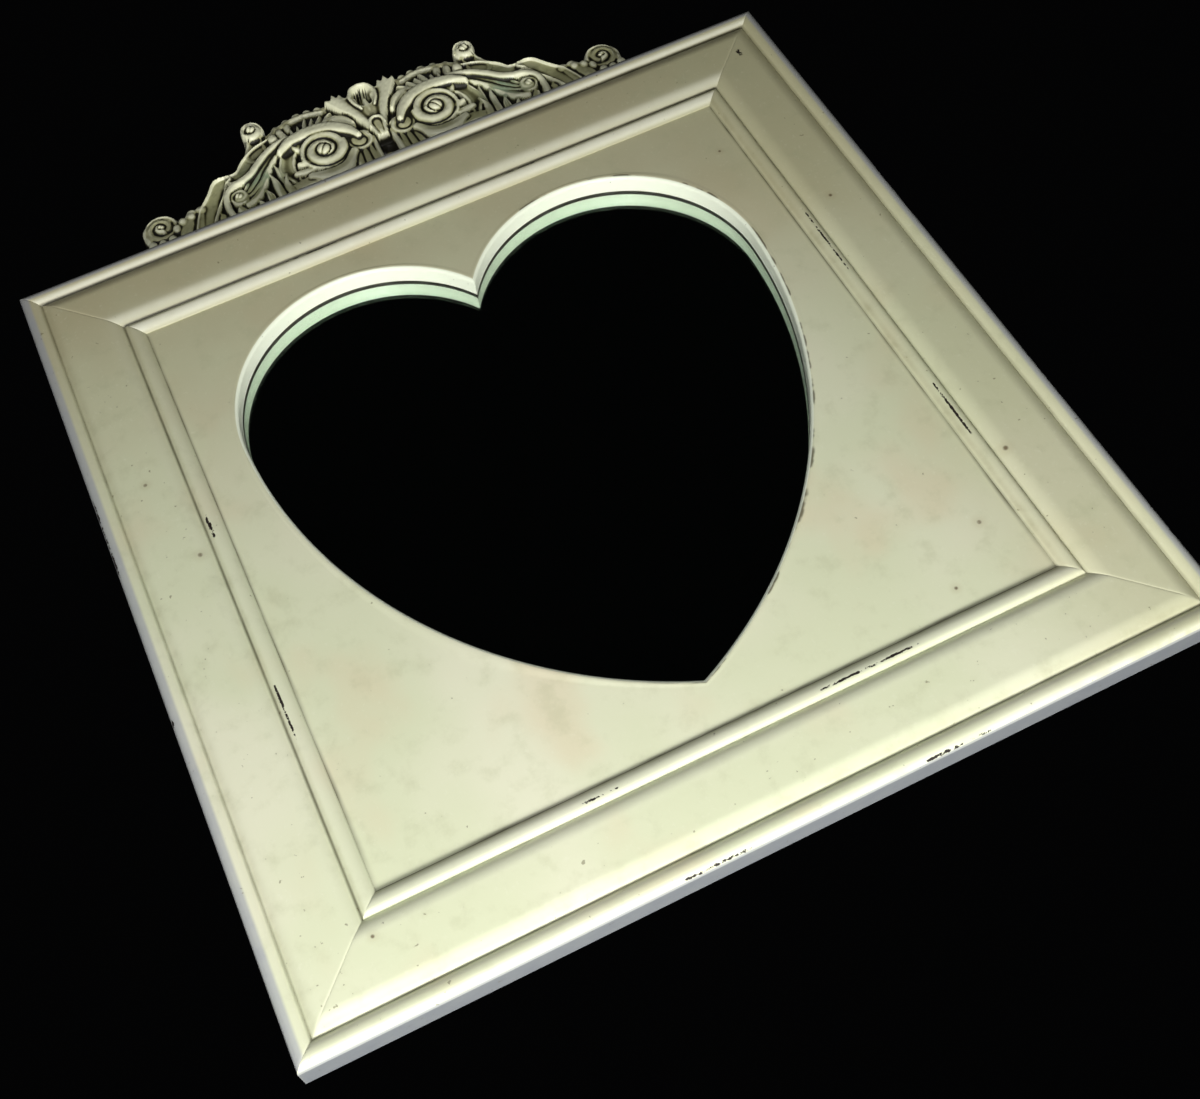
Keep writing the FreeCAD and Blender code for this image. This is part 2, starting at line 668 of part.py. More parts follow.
def make_crest():
    """Scrollwork in one piece: a plinth, broken scrolls, volutes, leaf fans and a cartouche."""
    body = new_body("crest_body")
    plinth_half = mm.plinth_length / 2
    plinth = outline(body, "plinth_outline", "XZ_Plane", [
        (-plinth_half, 0), (plinth_half, 0),
        (plinth_half, mm.plinth_height), (-plinth_half, mm.plinth_height),
    ])
    pad(body, plinth, mm.plinth_depth)
    # one side: from the middle up the cartouche, over the leaf fan and down the broken scroll
    volute_x, volute_top = mm.main_volute_offset, mm.main_volute_height + mm.main_volute_radius
    fan_foot_x = volute_x - mm.main_volute_radius
    neck_z = mm.knob_height - mm.knob_radius
    kink_x = (mm.knob_offset + mm.end_volute_offset) / 2 - mm.end_volute_radius / 2
    kink_z = volute_top * mm.kink_share
    strap_drop = mm.knob_radius * mm.strap_share
    side = outline(body, "scroll_outline", "XZ_Plane", [
        (0, mm.plinth_height / 2),
        (mm.end_volute_offset, mm.plinth_height / 2),
        (mm.end_volute_offset - mm.end_volute_radius, mm.plinth_height * mm.foot_share),
        (kink_x + strap_drop, mm.plinth_height + mm.plinth_height),
        (kink_x, kink_z),
        (kink_x - strap_drop, kink_z + strap_drop / 4),
        (mm.knob_offset + mm.knob_radius, neck_z - strap_drop / 2),
        (mm.knob_offset, neck_z + mm.knob_radius / 2),
        (mm.knob_offset - mm.knob_radius, neck_z - strap_drop / 2, volute_x - fan_foot_x / 2, 1),
        (fan_foot_x, volute_top + mm.knob_radius),
        (mm.eyelet_radius * 2, mm.eyelet_height),
        (0, mm.eyelet_height - mm.eyelet_radius),
    ])
    body_pad = pad(body, side, mm.crest_depth)
    rounds = []
    for name, x, z, radius, depth in (
            ("end_volute", mm.end_volute_offset, mm.end_volute_height, mm.end_volute_radius, mm.crest_relief),
            ("main_volute", volute_x, mm.main_volute_height, mm.main_volute_radius, mm.crest_relief),
            ("knob", mm.knob_offset, mm.knob_height, mm.knob_radius, mm.crest_depth)):
        disc = new_sketch(body, f"{name}_outline", "XZ_Plane")
        start = FreeCAD.Vector(x.value, z.value, 0)
        circle = disc.addGeometry(Part.Circle(start, FreeCAD.Vector(0, 0, 1), radius.value))
        pin_point(disc, "centre", circle, 3, x, z)
        constrain(disc, "radius", "Radius", circle, radius)
        rounds.append(pad(body, disc, depth))
    mirrored(body, [body_pad] + rounds)
    eyelet = new_sketch(body, "eyelet_outline", "XZ_Plane")
    for name, radius in (("outside", mm.eyelet_radius), ("inside", mm.eyelet_hole)):
        start = FreeCAD.Vector(0, mm.eyelet_height.value, 0)
        circle = eyelet.addGeometry(Part.Circle(start, FreeCAD.Vector(0, 0, 1), radius.value))
        pin_point(eyelet, name, circle, 3, 0, mm.eyelet_height)
        constrain(eyelet, f"{name}_radius", "Radius", circle, radius)
    body.Tip = pad(body, eyelet, mm.crest_depth)
    place(body, y=back, z=top)
    return keep(cut("crest_drilled", body, crest_screws), "crest")


def make_joining_plate(side, x):
    """A flat steel plate across the joint between the crest and the top rail."""
    name = f"crest_plate_{side}"
    plate = primitive("Box", f"{name}_blank", Length=mm.plate_width, Width=mm.plate_thickness,
                      Height=mm.plate_length)
    place(plate, x=x - mm.plate_width / 2, y=back, z=top - mm.plate_length / 2)
    keep(cut(f"{name}_drilled", plate, crest_screws), name)


make_crest()
for side_name, plate_x in (("left", -mm.main_volute_offset), ("right", mm.main_volute_offset)):
    make_joining_plate(side_name, plate_x)


# ---------------------------------------------------------------- check and write

doc.recompute()
for thing in doc.Objects:
    if "Invalid" in thing.State or "Error" in thing.State:
        raise RuntimeError(f"{thing.Label} did not compute: {thing.State}")
os.makedirs("parts", exist_ok=True)
for node in nodes:
    shape = node.Shape
    if shape.isNull() or not shape.isValid() or not shape.Solids:
        raise RuntimeError(f"{node.Label} has no valid solid")
for node in nodes:
    node.Shape.exportStep(f"parts/{node.Label}.step")
    box = node.Shape.BoundBox
    print(f"{node.Label}: {len(node.Shape.Solids)} solid(s), {node.Shape.Volume / 1000:.2f} cm3, "
          f"{box.XLength:.1f} x {box.YLength:.1f} x {box.ZLength:.1f}")
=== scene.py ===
"""Square wall mirror with a heart-shaped opening and a cast scrollwork crest: its looks.

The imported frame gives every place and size.  The painted moulding, the heart panel, the mirror and
the crest are made here as numpy surfaces; the fittings on the back keep their shapes and get their
finishes.  Lengths in the shape functions are millimetres, meshes are metres.
"""
import math
import bmesh
import bpy
import numpy as np
from mathutils import Matrix, Vector


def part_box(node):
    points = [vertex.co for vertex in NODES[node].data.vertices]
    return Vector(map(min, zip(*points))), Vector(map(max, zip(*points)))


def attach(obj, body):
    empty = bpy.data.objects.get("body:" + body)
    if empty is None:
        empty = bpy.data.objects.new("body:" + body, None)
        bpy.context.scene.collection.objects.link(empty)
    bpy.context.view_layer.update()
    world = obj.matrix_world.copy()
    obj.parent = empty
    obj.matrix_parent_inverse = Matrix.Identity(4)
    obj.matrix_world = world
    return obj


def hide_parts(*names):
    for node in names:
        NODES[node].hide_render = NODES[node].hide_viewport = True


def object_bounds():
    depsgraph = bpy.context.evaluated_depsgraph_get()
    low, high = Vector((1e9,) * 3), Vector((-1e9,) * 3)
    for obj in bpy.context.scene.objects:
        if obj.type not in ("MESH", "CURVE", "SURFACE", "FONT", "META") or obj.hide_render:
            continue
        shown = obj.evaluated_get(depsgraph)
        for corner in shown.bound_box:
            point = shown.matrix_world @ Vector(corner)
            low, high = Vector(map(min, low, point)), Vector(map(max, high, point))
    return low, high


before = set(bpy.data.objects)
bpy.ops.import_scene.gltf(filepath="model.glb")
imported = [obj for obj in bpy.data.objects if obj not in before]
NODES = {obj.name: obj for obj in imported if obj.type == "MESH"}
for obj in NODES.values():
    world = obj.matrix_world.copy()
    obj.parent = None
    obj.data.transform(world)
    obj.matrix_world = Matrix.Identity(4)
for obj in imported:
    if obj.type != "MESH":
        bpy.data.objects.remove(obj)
cad_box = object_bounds()

MM = 0.001


def edge_of(node, corner, axis):
    """One side of a node's box in millimetres: corner 0 is its lowest, 1 its highest."""
    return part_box(node)[corner][axis] / MM


LEFT = edge_of("left_rail", 0, 0)
RIGHT = edge_of("right_rail", 1, 0)
BOTTOM = edge_of("bottom_rail", 0, 2)
TOP = edge_of("top_rail", 1, 2)
FRONT = edge_of("top_rail", 0, 1)
BACK = edge_of("top_rail", 1, 1)
HALF = (RIGHT - LEFT) / 2
MIDDLE = (TOP + BOTTOM) / 2
DEPTH = BACK - FRONT


# ---------------------------------------------------------------- meshes

def soft_noise(points, scale, seed):
    """Smooth random height in -1..1: sines of random direction and phase, added up and evened out."""
    random = np.random.default_rng(seed)
    waves = random.normal(size=(9, points.shape[-1])) / scale
    phases = random.uniform(0, 2 * np.pi, 9)
    return np.sin(points @ waves.T + phases).sum(-1) / 4.5


def bell(value, centre, spread, power=2):
    """1 at the centre and next to nothing a few spreads away: e to minus the square, or a higher
    power for a flatter top, of the distance in spreads."""
    return np.exp(-((value - centre) / spread) ** power)


def quads(rows, columns, loop_rows, loop_columns):
    """Corner numbers of the faces of a grid whose rows or columns may close on themselves."""
    i = np.arange(rows if loop_rows else rows - 1)[:, None]
    j = np.arange(columns if loop_columns else columns - 1)[None, :]
    i_next = (i + 1) % rows
    j_next = (j + 1) % columns
    corners = [i * columns + j, i * columns + j_next, i_next * columns + j_next, i_next * columns + j]
    return np.stack(np.broadcast_arrays(*corners), -1).reshape(-1, 4)


def add_object(name, data):
    """An object for a mesh, a lamp or a camera, linked into the scene."""
    made = bpy.data.objects.new(name, data)
    bpy.context.scene.collection.objects.link(made)
    return made


def make_piece(name, points, faces, marks, crease=40):
    """A mesh object from points in millimetres; marks are values kept on its points by name.

    Faces are turned outwards, and edges sharper than the crease angle stay sharp."""
    mesh = bpy.data.meshes.new(name)
    mesh.from_pydata((np.asarray(points) * MM).tolist(), [], faces)
    form = bmesh.new()
    form.from_mesh(mesh)
    bmesh.ops.recalc_face_normals(form, faces=form.faces)
    form.to_mesh(mesh)
    form.free()
    mesh.shade_smooth()
    mesh.set_sharp_from_angle(angle=math.radians(crease))
    for mark, values in marks.items():
        kept = mesh.attributes.new(mark, "FLOAT", "POINT")
        kept.data.foreach_set("value", np.ravel(values).astype(np.float32))
    return add_object(name, mesh)


# ---------------------------------------------------------------- moulding

# places across the section, in from the outer edge
EDGE_ROUND = 4.5
LIP_END = 11.0
CROWN_START = 11.8
CROWN_ROUND = 9.0
CROWN_END = 52.0
BEAD_START = 52.8
BEAD_TOP = 55.8
SIGHT = 63.0
RABBET = 55.0
# heights above the back, and falls from them
SHELF = 17.5
GROOVE = 19.0
GROOVE_STEP = 0.4
GROOVE_DIP = 0.5
BEAD_HEIGHT = DEPTH - 1
BEAD_RISE = 2.0
BEAD_FALL = 3.2
# how far the front lies below the drawn section, how much that wavers, and what a mitre adds
SINK = 0.10
WAVER = 0.10
SEAM_SINK = 0.14


def arc_fall(distance, width, fall):
    """How far a round edge has dropped at a distance into it: a circle that leaves the flat
    tangentially and falls by the stated amount over the stated width."""
    radius = (width ** 2 + fall ** 2) / (2 * fall)
    return radius - np.sqrt(radius ** 2 - np.asarray(distance) ** 2)


def moulding_profile():
    """Section of the moulding as distance in from the outer edge and height above the back.

    Outer wall, rounded edge, lip, groove, crown, groove, bead, sight wall, shelf, rabbet, back."""
    fall = DEPTH - GROOVE
    wall = np.linspace(0, DEPTH - EDGE_ROUND, 8)
    turn = np.radians(np.linspace(180, 90, 11)[1:])
    lip = np.linspace(EDGE_ROUND, LIP_END, 14)[1:]
    crown_left = CROWN_START + CROWN_ROUND
    crown_right = CROWN_END - CROWN_ROUND
    rise = np.linspace(CROWN_START, crown_left, 16)
    flat = np.linspace(crown_left, crown_right, 20)[1:-1]
    drop = np.linspace(crown_right, CROWN_END, 16)
    bead_rise = np.linspace(BEAD_START, BEAD_TOP, 10)
    bead_fall = np.linspace(BEAD_TOP, SIGHT, 16)[1:]
    bead_in = arc_fall(BEAD_TOP - bead_rise, BEAD_TOP - BEAD_START, BEAD_RISE)
    bead_out = arc_fall(bead_fall - BEAD_TOP, SIGHT - BEAD_TOP, BEAD_FALL)
    parts = [
        np.stack([0 * wall, wall], 1),
        np.stack([EDGE_ROUND + EDGE_ROUND * np.cos(turn),
                  DEPTH - EDGE_ROUND + EDGE_ROUND * np.sin(turn)], 1),
        np.stack([lip, DEPTH - arc_fall(lip - EDGE_ROUND, LIP_END - EDGE_ROUND, fall)], 1),
        [[LIP_END + GROOVE_STEP, GROOVE - GROOVE_DIP]],
        np.stack([rise, DEPTH - arc_fall(crown_left - rise, CROWN_ROUND, fall)], 1),
        np.stack([flat, np.full_like(flat, DEPTH)], 1),
        np.stack([drop, DEPTH - arc_fall(drop - CROWN_END + CROWN_ROUND, CROWN_ROUND, fall)], 1),
        [[CROWN_END + GROOVE_STEP, GROOVE - GROOVE_DIP]],
        np.stack([bead_rise, BEAD_HEIGHT - bead_in], 1),
        np.stack([bead_fall, BEAD_HEIGHT - bead_out], 1),
        [[SIGHT, SHELF], [SIGHT - 0.4, SHELF], [RABBET, SHELF], [RABBET, 9]],
        [[RABBET, 0], [40, 0], [25, 0], [10, 0], [0.5, 0]],
    ]
    return np.concatenate(parts)


# rubbed-through lengths: distance in from the outer edge, start and end along the rail, width
# of the worn line; all in millimetres, along from the middle of the rail
RUBS = {
    "top_rail": [(54.2, -108, -50, 0.9), (54.2, 46, 84, 0.9)],
    "bottom_rail": [(56.5, -90, -54, 0.9), (56.5, 38, 112, 0.9), (0.8, -66, -12, 1.1),
                    (0.8, 67, 118, 1.1)],
    "left_rail": [(55.5, 28, 53, 1.3), (55.5, -108, -56, 0.9), (0.8, 18, 98, 1.0),
                  (0.8, -68, -58, 1.2)],
    "right_rail": [(56.5, 22, 92, 0.8), (57.5, -112, -54, 0.9), (0.8, 36, 102, 1.1),
                   (0.8, -124, -54, 1.1), (0.8, -222, -170, 1.1), (25.5, 214, 226, 2.4)],
}
# how dark the glaze and painted shade lie in the outer groove, in the inner groove and, as painted shade
# only, along the sight edge
GLAZE_AND_SHADE = {
    "top_rail": (1.0, 1.0, 0.0),
    "right_rail": (0.5, 0.45, 0.5),
    "bottom_rail": (0.62, 0.35, 1.0),
    "left_rail": (0.55, 0.75, 0.4),
}
# how pale the painted highlight on the raised parts of each rail is, strongest where they face the light
PALE = {"top_rail": 1.0, "right_rail": 0.0, "bottom_rail": 0.5, "left_rail": 0.15}
# where painted shade, with some glaze, lies along the bead of each rail on the side turned from the
# light, how wide and how dark
BEAD_SHADE_AND_GLAZE = {
    "top_rail": (53.2, 0.6, 0.3),
    "right_rail": (60.8, 2.4, 0.6),
    "bottom_rail": (61.9, 1.2, 0.7),
    "left_rail": (54.2, 1.8, 0.45),
}


def rub_field(rail, across, along, height):
    """Paint rubbed away, 0..1: a bell across each rubbed line times a window with long soft ends.
    Wear on the outer edge stays on the round of that edge."""
    worn = np.zeros_like(across)
    for line, start, end, width in RUBS[rail]:
        rubbed = bell(across, line, width)
        if line < EDGE_ROUND:
            rubbed = rubbed * bell(height, DEPTH - 1.6, 1.6)
        soft = 0.2 * (end - start) + 2
        window = np.clip((along - start) / soft, 0, 1) * np.clip((end - along) / soft, 0, 1)
        worn = np.maximum(worn, rubbed * window)
    return worn


def make_rail(name, turn):
    """A mitred length of moulding: its section carried along u from -1 to 1, each point of it
    as far as its own mitre, then turned into its place round the middle of the frame."""
    across, height = moulding_profile().T
    ends = 1 - np.array([0, 0.0012, 0.003, 0.008, 0.02])
    run = np.linspace(-0.97, 0.97, 220)
    share = np.concatenate([-ends, run, ends[::-1]])[:, None]
    reach = HALF - across[None, :]
    along = share * reach
    to_mitre = reach - np.abs(along)
    rolled = (height > GROOVE - 0.6) & (across > 1)
    place = np.stack(np.broadcast_arrays(along / 30, across[None, :] / 9), -1)
    waver = WAVER * soft_noise(place, 1.6, turn + 5)
    level = height - rolled * (SINK + waver + SEAM_SINK * bell(to_mitre, 0, 0.5))
    angle = math.radians(turn)
    points = np.stack([
        along * math.cos(angle) + reach * math.sin(angle),
        BACK - level,
        MIDDLE - along * math.sin(angle) + reach * math.cos(angle),
    ], -1)
    rows, columns = along.shape
    faces = quads(rows, columns, False, True).tolist()
    faces.append(list(range(columns)))
    faces.append([(rows - 1) * columns + k for k in reversed(range(columns))])
    outer, inner, sight = GLAZE_AND_SHADE[name]
    # the grooves: glaze with painted shade as each rail faces the light; the sight edge: painted shade
    groove = outer * bell(across, 11.2, 1.2) + inner * bell(across, 52.4, 1.1)
    shade = sight * bell(across, 62.9, 0.8)
    # glaze beside the grooves with painted shade on the crown's rolls, strongest on the top rail
    stain_and_shade = outer * (bell(across, 13.5, 4) + 0.5 * bell(across, 51, 1.5))
    # along the bead: painted shade on the slope turned from the light, with some glaze
    bead_shade_line, bead_shade_width, dark = BEAD_SHADE_AND_GLAZE[name]
    stain_and_shade = stain_and_shade + 1.3 * dark * bell(across, bead_shade_line, bead_shade_width)
    # painted highlight on the lip, the crown's inner roll and the bead, where they face the light
    pale = bell(across, 8.8, 1.8) + bell(across, 58.6, 3.2, 4) + 0.7 * bell(across, 47.5, 4)
    # painted shade: cool grey where the outer edge turns from the light, on the bottom rail only its
    # wall
    if name == "bottom_rail":
        side = (height < DEPTH - EDGE_ROUND + 2) * np.clip((EDGE_ROUND - across) / 2, 0, 1)
    else:
        side = np.clip((6.6 - across) / 2.2, 0, 1) * (height > 0.5)
    fronts = height > 14
    behind = (height < 0.5) & (across > 0.3)
    bare = behind | ((across > RABBET - 0.5) & (across < SIGHT - 0.2) & (height < SHELF + 0.1))
    position = points[..., 0] if turn in (0, 180) else points[..., 2] - MIDDLE
    flat = np.zeros_like(along)
    marks = {
        "cavity": flat + fronts * np.clip(groove + shade, 0, 1),
        "rub_and_highlight": rub_field(name, across + flat, position, height + flat),
        "across": across + flat,
        "along": position,
        "stain_and_shade": flat + np.clip(stain_and_shade, 0, 1.3) * fronts,
        # painted shade: over 1 on the outer wall, which goes darker grey
        "side": flat + side + 2 * (across < 0.1) * (height < DEPTH - EDGE_ROUND),
        "pale": flat + PALE[name] * pale * fronts,
        "mitre": bell(to_mitre, 0, 0.9),
        "bare": flat + bare,
        # painted highlight along the rounded outer edge
        "edge": flat + bell(across, 1, 1.6) * (height > 17),
    }
    return make_piece(name + "_painted", points.reshape(-1, 3), faces, marks)


# ---------------------------------------------------------------- heart panel

# the heart's right half, with x and z from the middle of the frame
LOBE = np.array([75.0, 84.0])
LOBE_RADIUS = 88.5
FLANK_RADIUS = 275.0
TIP = np.array([0.0, -164.0])
HUB = np.array([0.0, 20.0])
BEVEL = 2.5
FACE_RINGS = 42
PANEL_HALF = 198.5
PANEL_FRONT = edge_of("heart_panel", 0, 1)
PANEL_BACK = edge_of("heart_panel", 1, 1)


def heart_points():
    """Right half of the heart from notch to point, closely spaced: an arc round the lobe's centre,
    then a long arc that leaves it tangentially and ends at the point."""
    far = FLANK_RADIUS - LOBE_RADIUS
    gap = TIP - LOBE
    span = np.hypot(*gap)
    share = (far ** 2 - FLANK_RADIUS ** 2 + span ** 2) / (2 * span)
    offset = math.sqrt(far ** 2 - share ** 2)
    unit = gap / span
    centres = [LOBE + share * unit + offset * s * np.array([-unit[1], unit[0]]) for s in (1, -1)]
    flank = min(centres, key=lambda c: c[0])
    notch = math.acos(-LOBE[0] / LOBE_RADIUS)
    meet = math.atan2(*(LOBE - flank)[::-1])
    last = math.atan2(*(TIP - flank)[::-1])
    lobe = np.linspace(notch, meet, 900)
    long_arc = np.linspace(meet, last, 900)
    return np.concatenate([
        LOBE + LOBE_RADIUS * np.stack([np.cos(lobe), np.sin(lobe)], 1),
        flank + FLANK_RADIUS * np.stack([np.cos(long_arc), np.sin(long_arc)], 1)[1:],
    ])


def heart_by_angle(angles):
    """Distance from the hub to the heart along each angle, and the cosine between that line and the
    outline's normal, so that a bevel keeps its width all round."""
    right = heart_points()
    left = right[::-1] * [-1, 1]
    loop = np.concatenate([right, left[1:-1]]) - HUB
    step = np.roll(loop, -1, 0) - np.roll(loop, 1, 0)
    bearing = np.unwrap(np.arctan2(loop[:, 1], loop[:, 0]))
    radius = np.hypot(*loop.T)
    cosine = np.abs(loop[:, 0] * step[:, 1] - loop[:, 1] * step[:, 0]) / radius / np.hypot(*step.T)
    cosine[0] = cosine[1]
    cosine[len(right) - 1] = cosine[len(right) - 2]
    order = np.argsort(bearing)
    wrapped = (angles - bearing[order][0]) % (2 * np.pi) + bearing[order][0]
    close = np.append(bearing[order], bearing[order][0] + 2 * np.pi)
    return (np.interp(wrapped, close, np.append(radius[order], radius[order][0])),
            np.interp(wrapped, close, np.append(cosine[order], cosine[order][0])))


def make_panel():
    """Flat panel with the heart cut through it: rings that run from the square outline in to the
    heart, over a rounded bevel, back through the opening and out again behind."""
    square_corners = np.arctan2([1, 1, -1, -1] * np.array(PANEL_HALF) - HUB[1],
                                np.array([1, -1, -1, 1]) * PANEL_HALF)
    angles = np.unique(np.concatenate([
        np.linspace(-np.pi, np.pi, 721)[:-1], square_corners, [np.pi / 2, -np.pi / 2],
    ]))
    ray = np.stack([np.cos(angles), np.sin(angles)], 1)
    heart, cosine = heart_by_angle(angles)
    to_side = PANEL_HALF / np.maximum(np.abs(ray[:, 0]), 1e-9)
    to_end = (PANEL_HALF - np.sign(ray[:, 1]) * HUB[1]) / np.maximum(np.abs(ray[:, 1]), 1e-9)
    square = np.minimum(to_side, to_end)
    shoulder = heart + BEVEL / np.maximum(cosine, 0.3)
    rings = []
    for share in np.linspace(0, 1, FACE_RINGS) ** 0.8:
        rings.append((square + (shoulder - square) * share, PANEL_FRONT, share))
    for bend in np.radians(np.linspace(0, 90, 8)[1:]):
        inward = math.sin(bend)
        rings.append((shoulder + (heart - shoulder) * inward,
                      PANEL_FRONT + BEVEL * (1 - math.cos(bend)), 1))
    for depth in np.linspace(PANEL_FRONT + BEVEL, PANEL_BACK, 7)[1:]:
        rings.append((heart, depth, 1))
    for share in (0.004, 0.04, 0.2, 0.5, 1):
        rings.append((heart + (square - heart) * share, PANEL_BACK, 2))
    distance = np.array([ring[0] for ring in rings])
    depth, share = (np.repeat(np.array([ring[k] for ring in rings])[:, None], len(angles), 1)
                    for k in (1, 2))
    x = distance * ray[:, 0]
    z = distance * ray[:, 1] + HUB[1]
    sway = soft_noise(np.stack([x, z], -1), 60, 3)
    face = slice(0, FACE_RINGS)
    depth[face] += (0.12 + 0.12 * sway[face]) * (share[face] < 0.97)
    points = np.stack([x, depth, z + MIDDLE], -1)
    faces = quads(*x.shape, True, True).tolist()
    line = np.zeros_like(x)
    # a glaze line along the heart's shoulder, with painted shade that darkens it towards the right
    line[FACE_RINGS - 1:FACE_RINGS + 4] = np.array([0.7, 1, 0.8, 0.4, 0.1])[:, None]
    line = line * np.clip(0.55 + x / 150, 0.35, 1)
    sight = HALF - SIGHT
    inset = sight - np.maximum(np.abs(x), np.abs(z))
    # painted shade along the foot of the bead, faint on the top side where the light reaches it
    dust_and_shade = np.exp(-np.clip(inset, 0, None) / 1.3) * (depth < PANEL_BACK - 1)
    dust_and_shade = dust_and_shade * np.where(z > np.abs(x), 0.15, 0.9)
    marks = {
        "cavity": np.clip(dust_and_shade, 0, 1),
        "glaze_and_shade": line,
        "across": np.full_like(x, 30.0),
        "along": x,
        "bare": (share > 1.5) * (distance > heart + 14),
        # paler paint with painted light on the heart's bevel and wall
        "wall": (np.arange(len(rings))[:, None] > FACE_RINGS) * (share < 1.5) * np.ones_like(x),
    }
    return make_piece("heart_panel_painted", points.reshape(-1, 3), faces, marks, 50)


def make_plate(name, node, front, back):
    """Sheet with ground edges: four squares stacked from front to back, the outer two drawn in."""
    low, high = (np.array(c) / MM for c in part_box(node))
    ease = min(0.4, (back - front) / 3)
    rings = []
    for depth, inset in ((front, ease), (front + ease, 0), (back - ease, 0), (back, ease)):
        xs = np.array([low[0] + inset, high[0] - inset])
        zs = np.array([low[2] + inset, high[2] - inset])
        rings.append(np.stack([xs[[0, 1, 1, 0]], np.full(4, depth), zs[[0, 0, 1, 1]]], 1))
    faces = quads(4, 4, False, True).tolist() + [[0, 1, 2, 3], [15, 14, 13, 12]]
    return make_piece(name, np.concatenate(rings), faces, {}, 20)


# ---------------------------------------------------------------- crest

# grid step, half width and height of the casting, and how far left of the middle it sits
CREST_CELL = 0.5
CREST_HALF = 172.0
CREST_TOP = 77.6
CREST_SHIFT = -2.5
CURVE_STEPS = 40
# how much of its pitch a scroll's rim comes in over the last turn
RIM_SHRINK = 0.25


def curve(points):
    """Smooth path through the points: on each span the cubic whose slope at a point is half the
    step between that point's neighbours."""
    p = np.array(points, float)
    p = np.vstack([2 * p[0] - p[1], p, 2 * p[-1] - p[-2]])
    spans = len(p) - 3
    t = np.linspace(0, spans, CURVE_STEPS)
    k = np.minimum(t.astype(int), spans - 1)
    f = (t - k)[:, None]
    a, b, c, d = p[k], p[k + 1], p[k + 2], p[k + 3]
    bent = (2 * a - 5 * b + 4 * c - d) * f ** 2 + (3 * b - a - 3 * c + d) * f ** 3
    return 0.5 * (2 * b + (c - a) * f + bent)


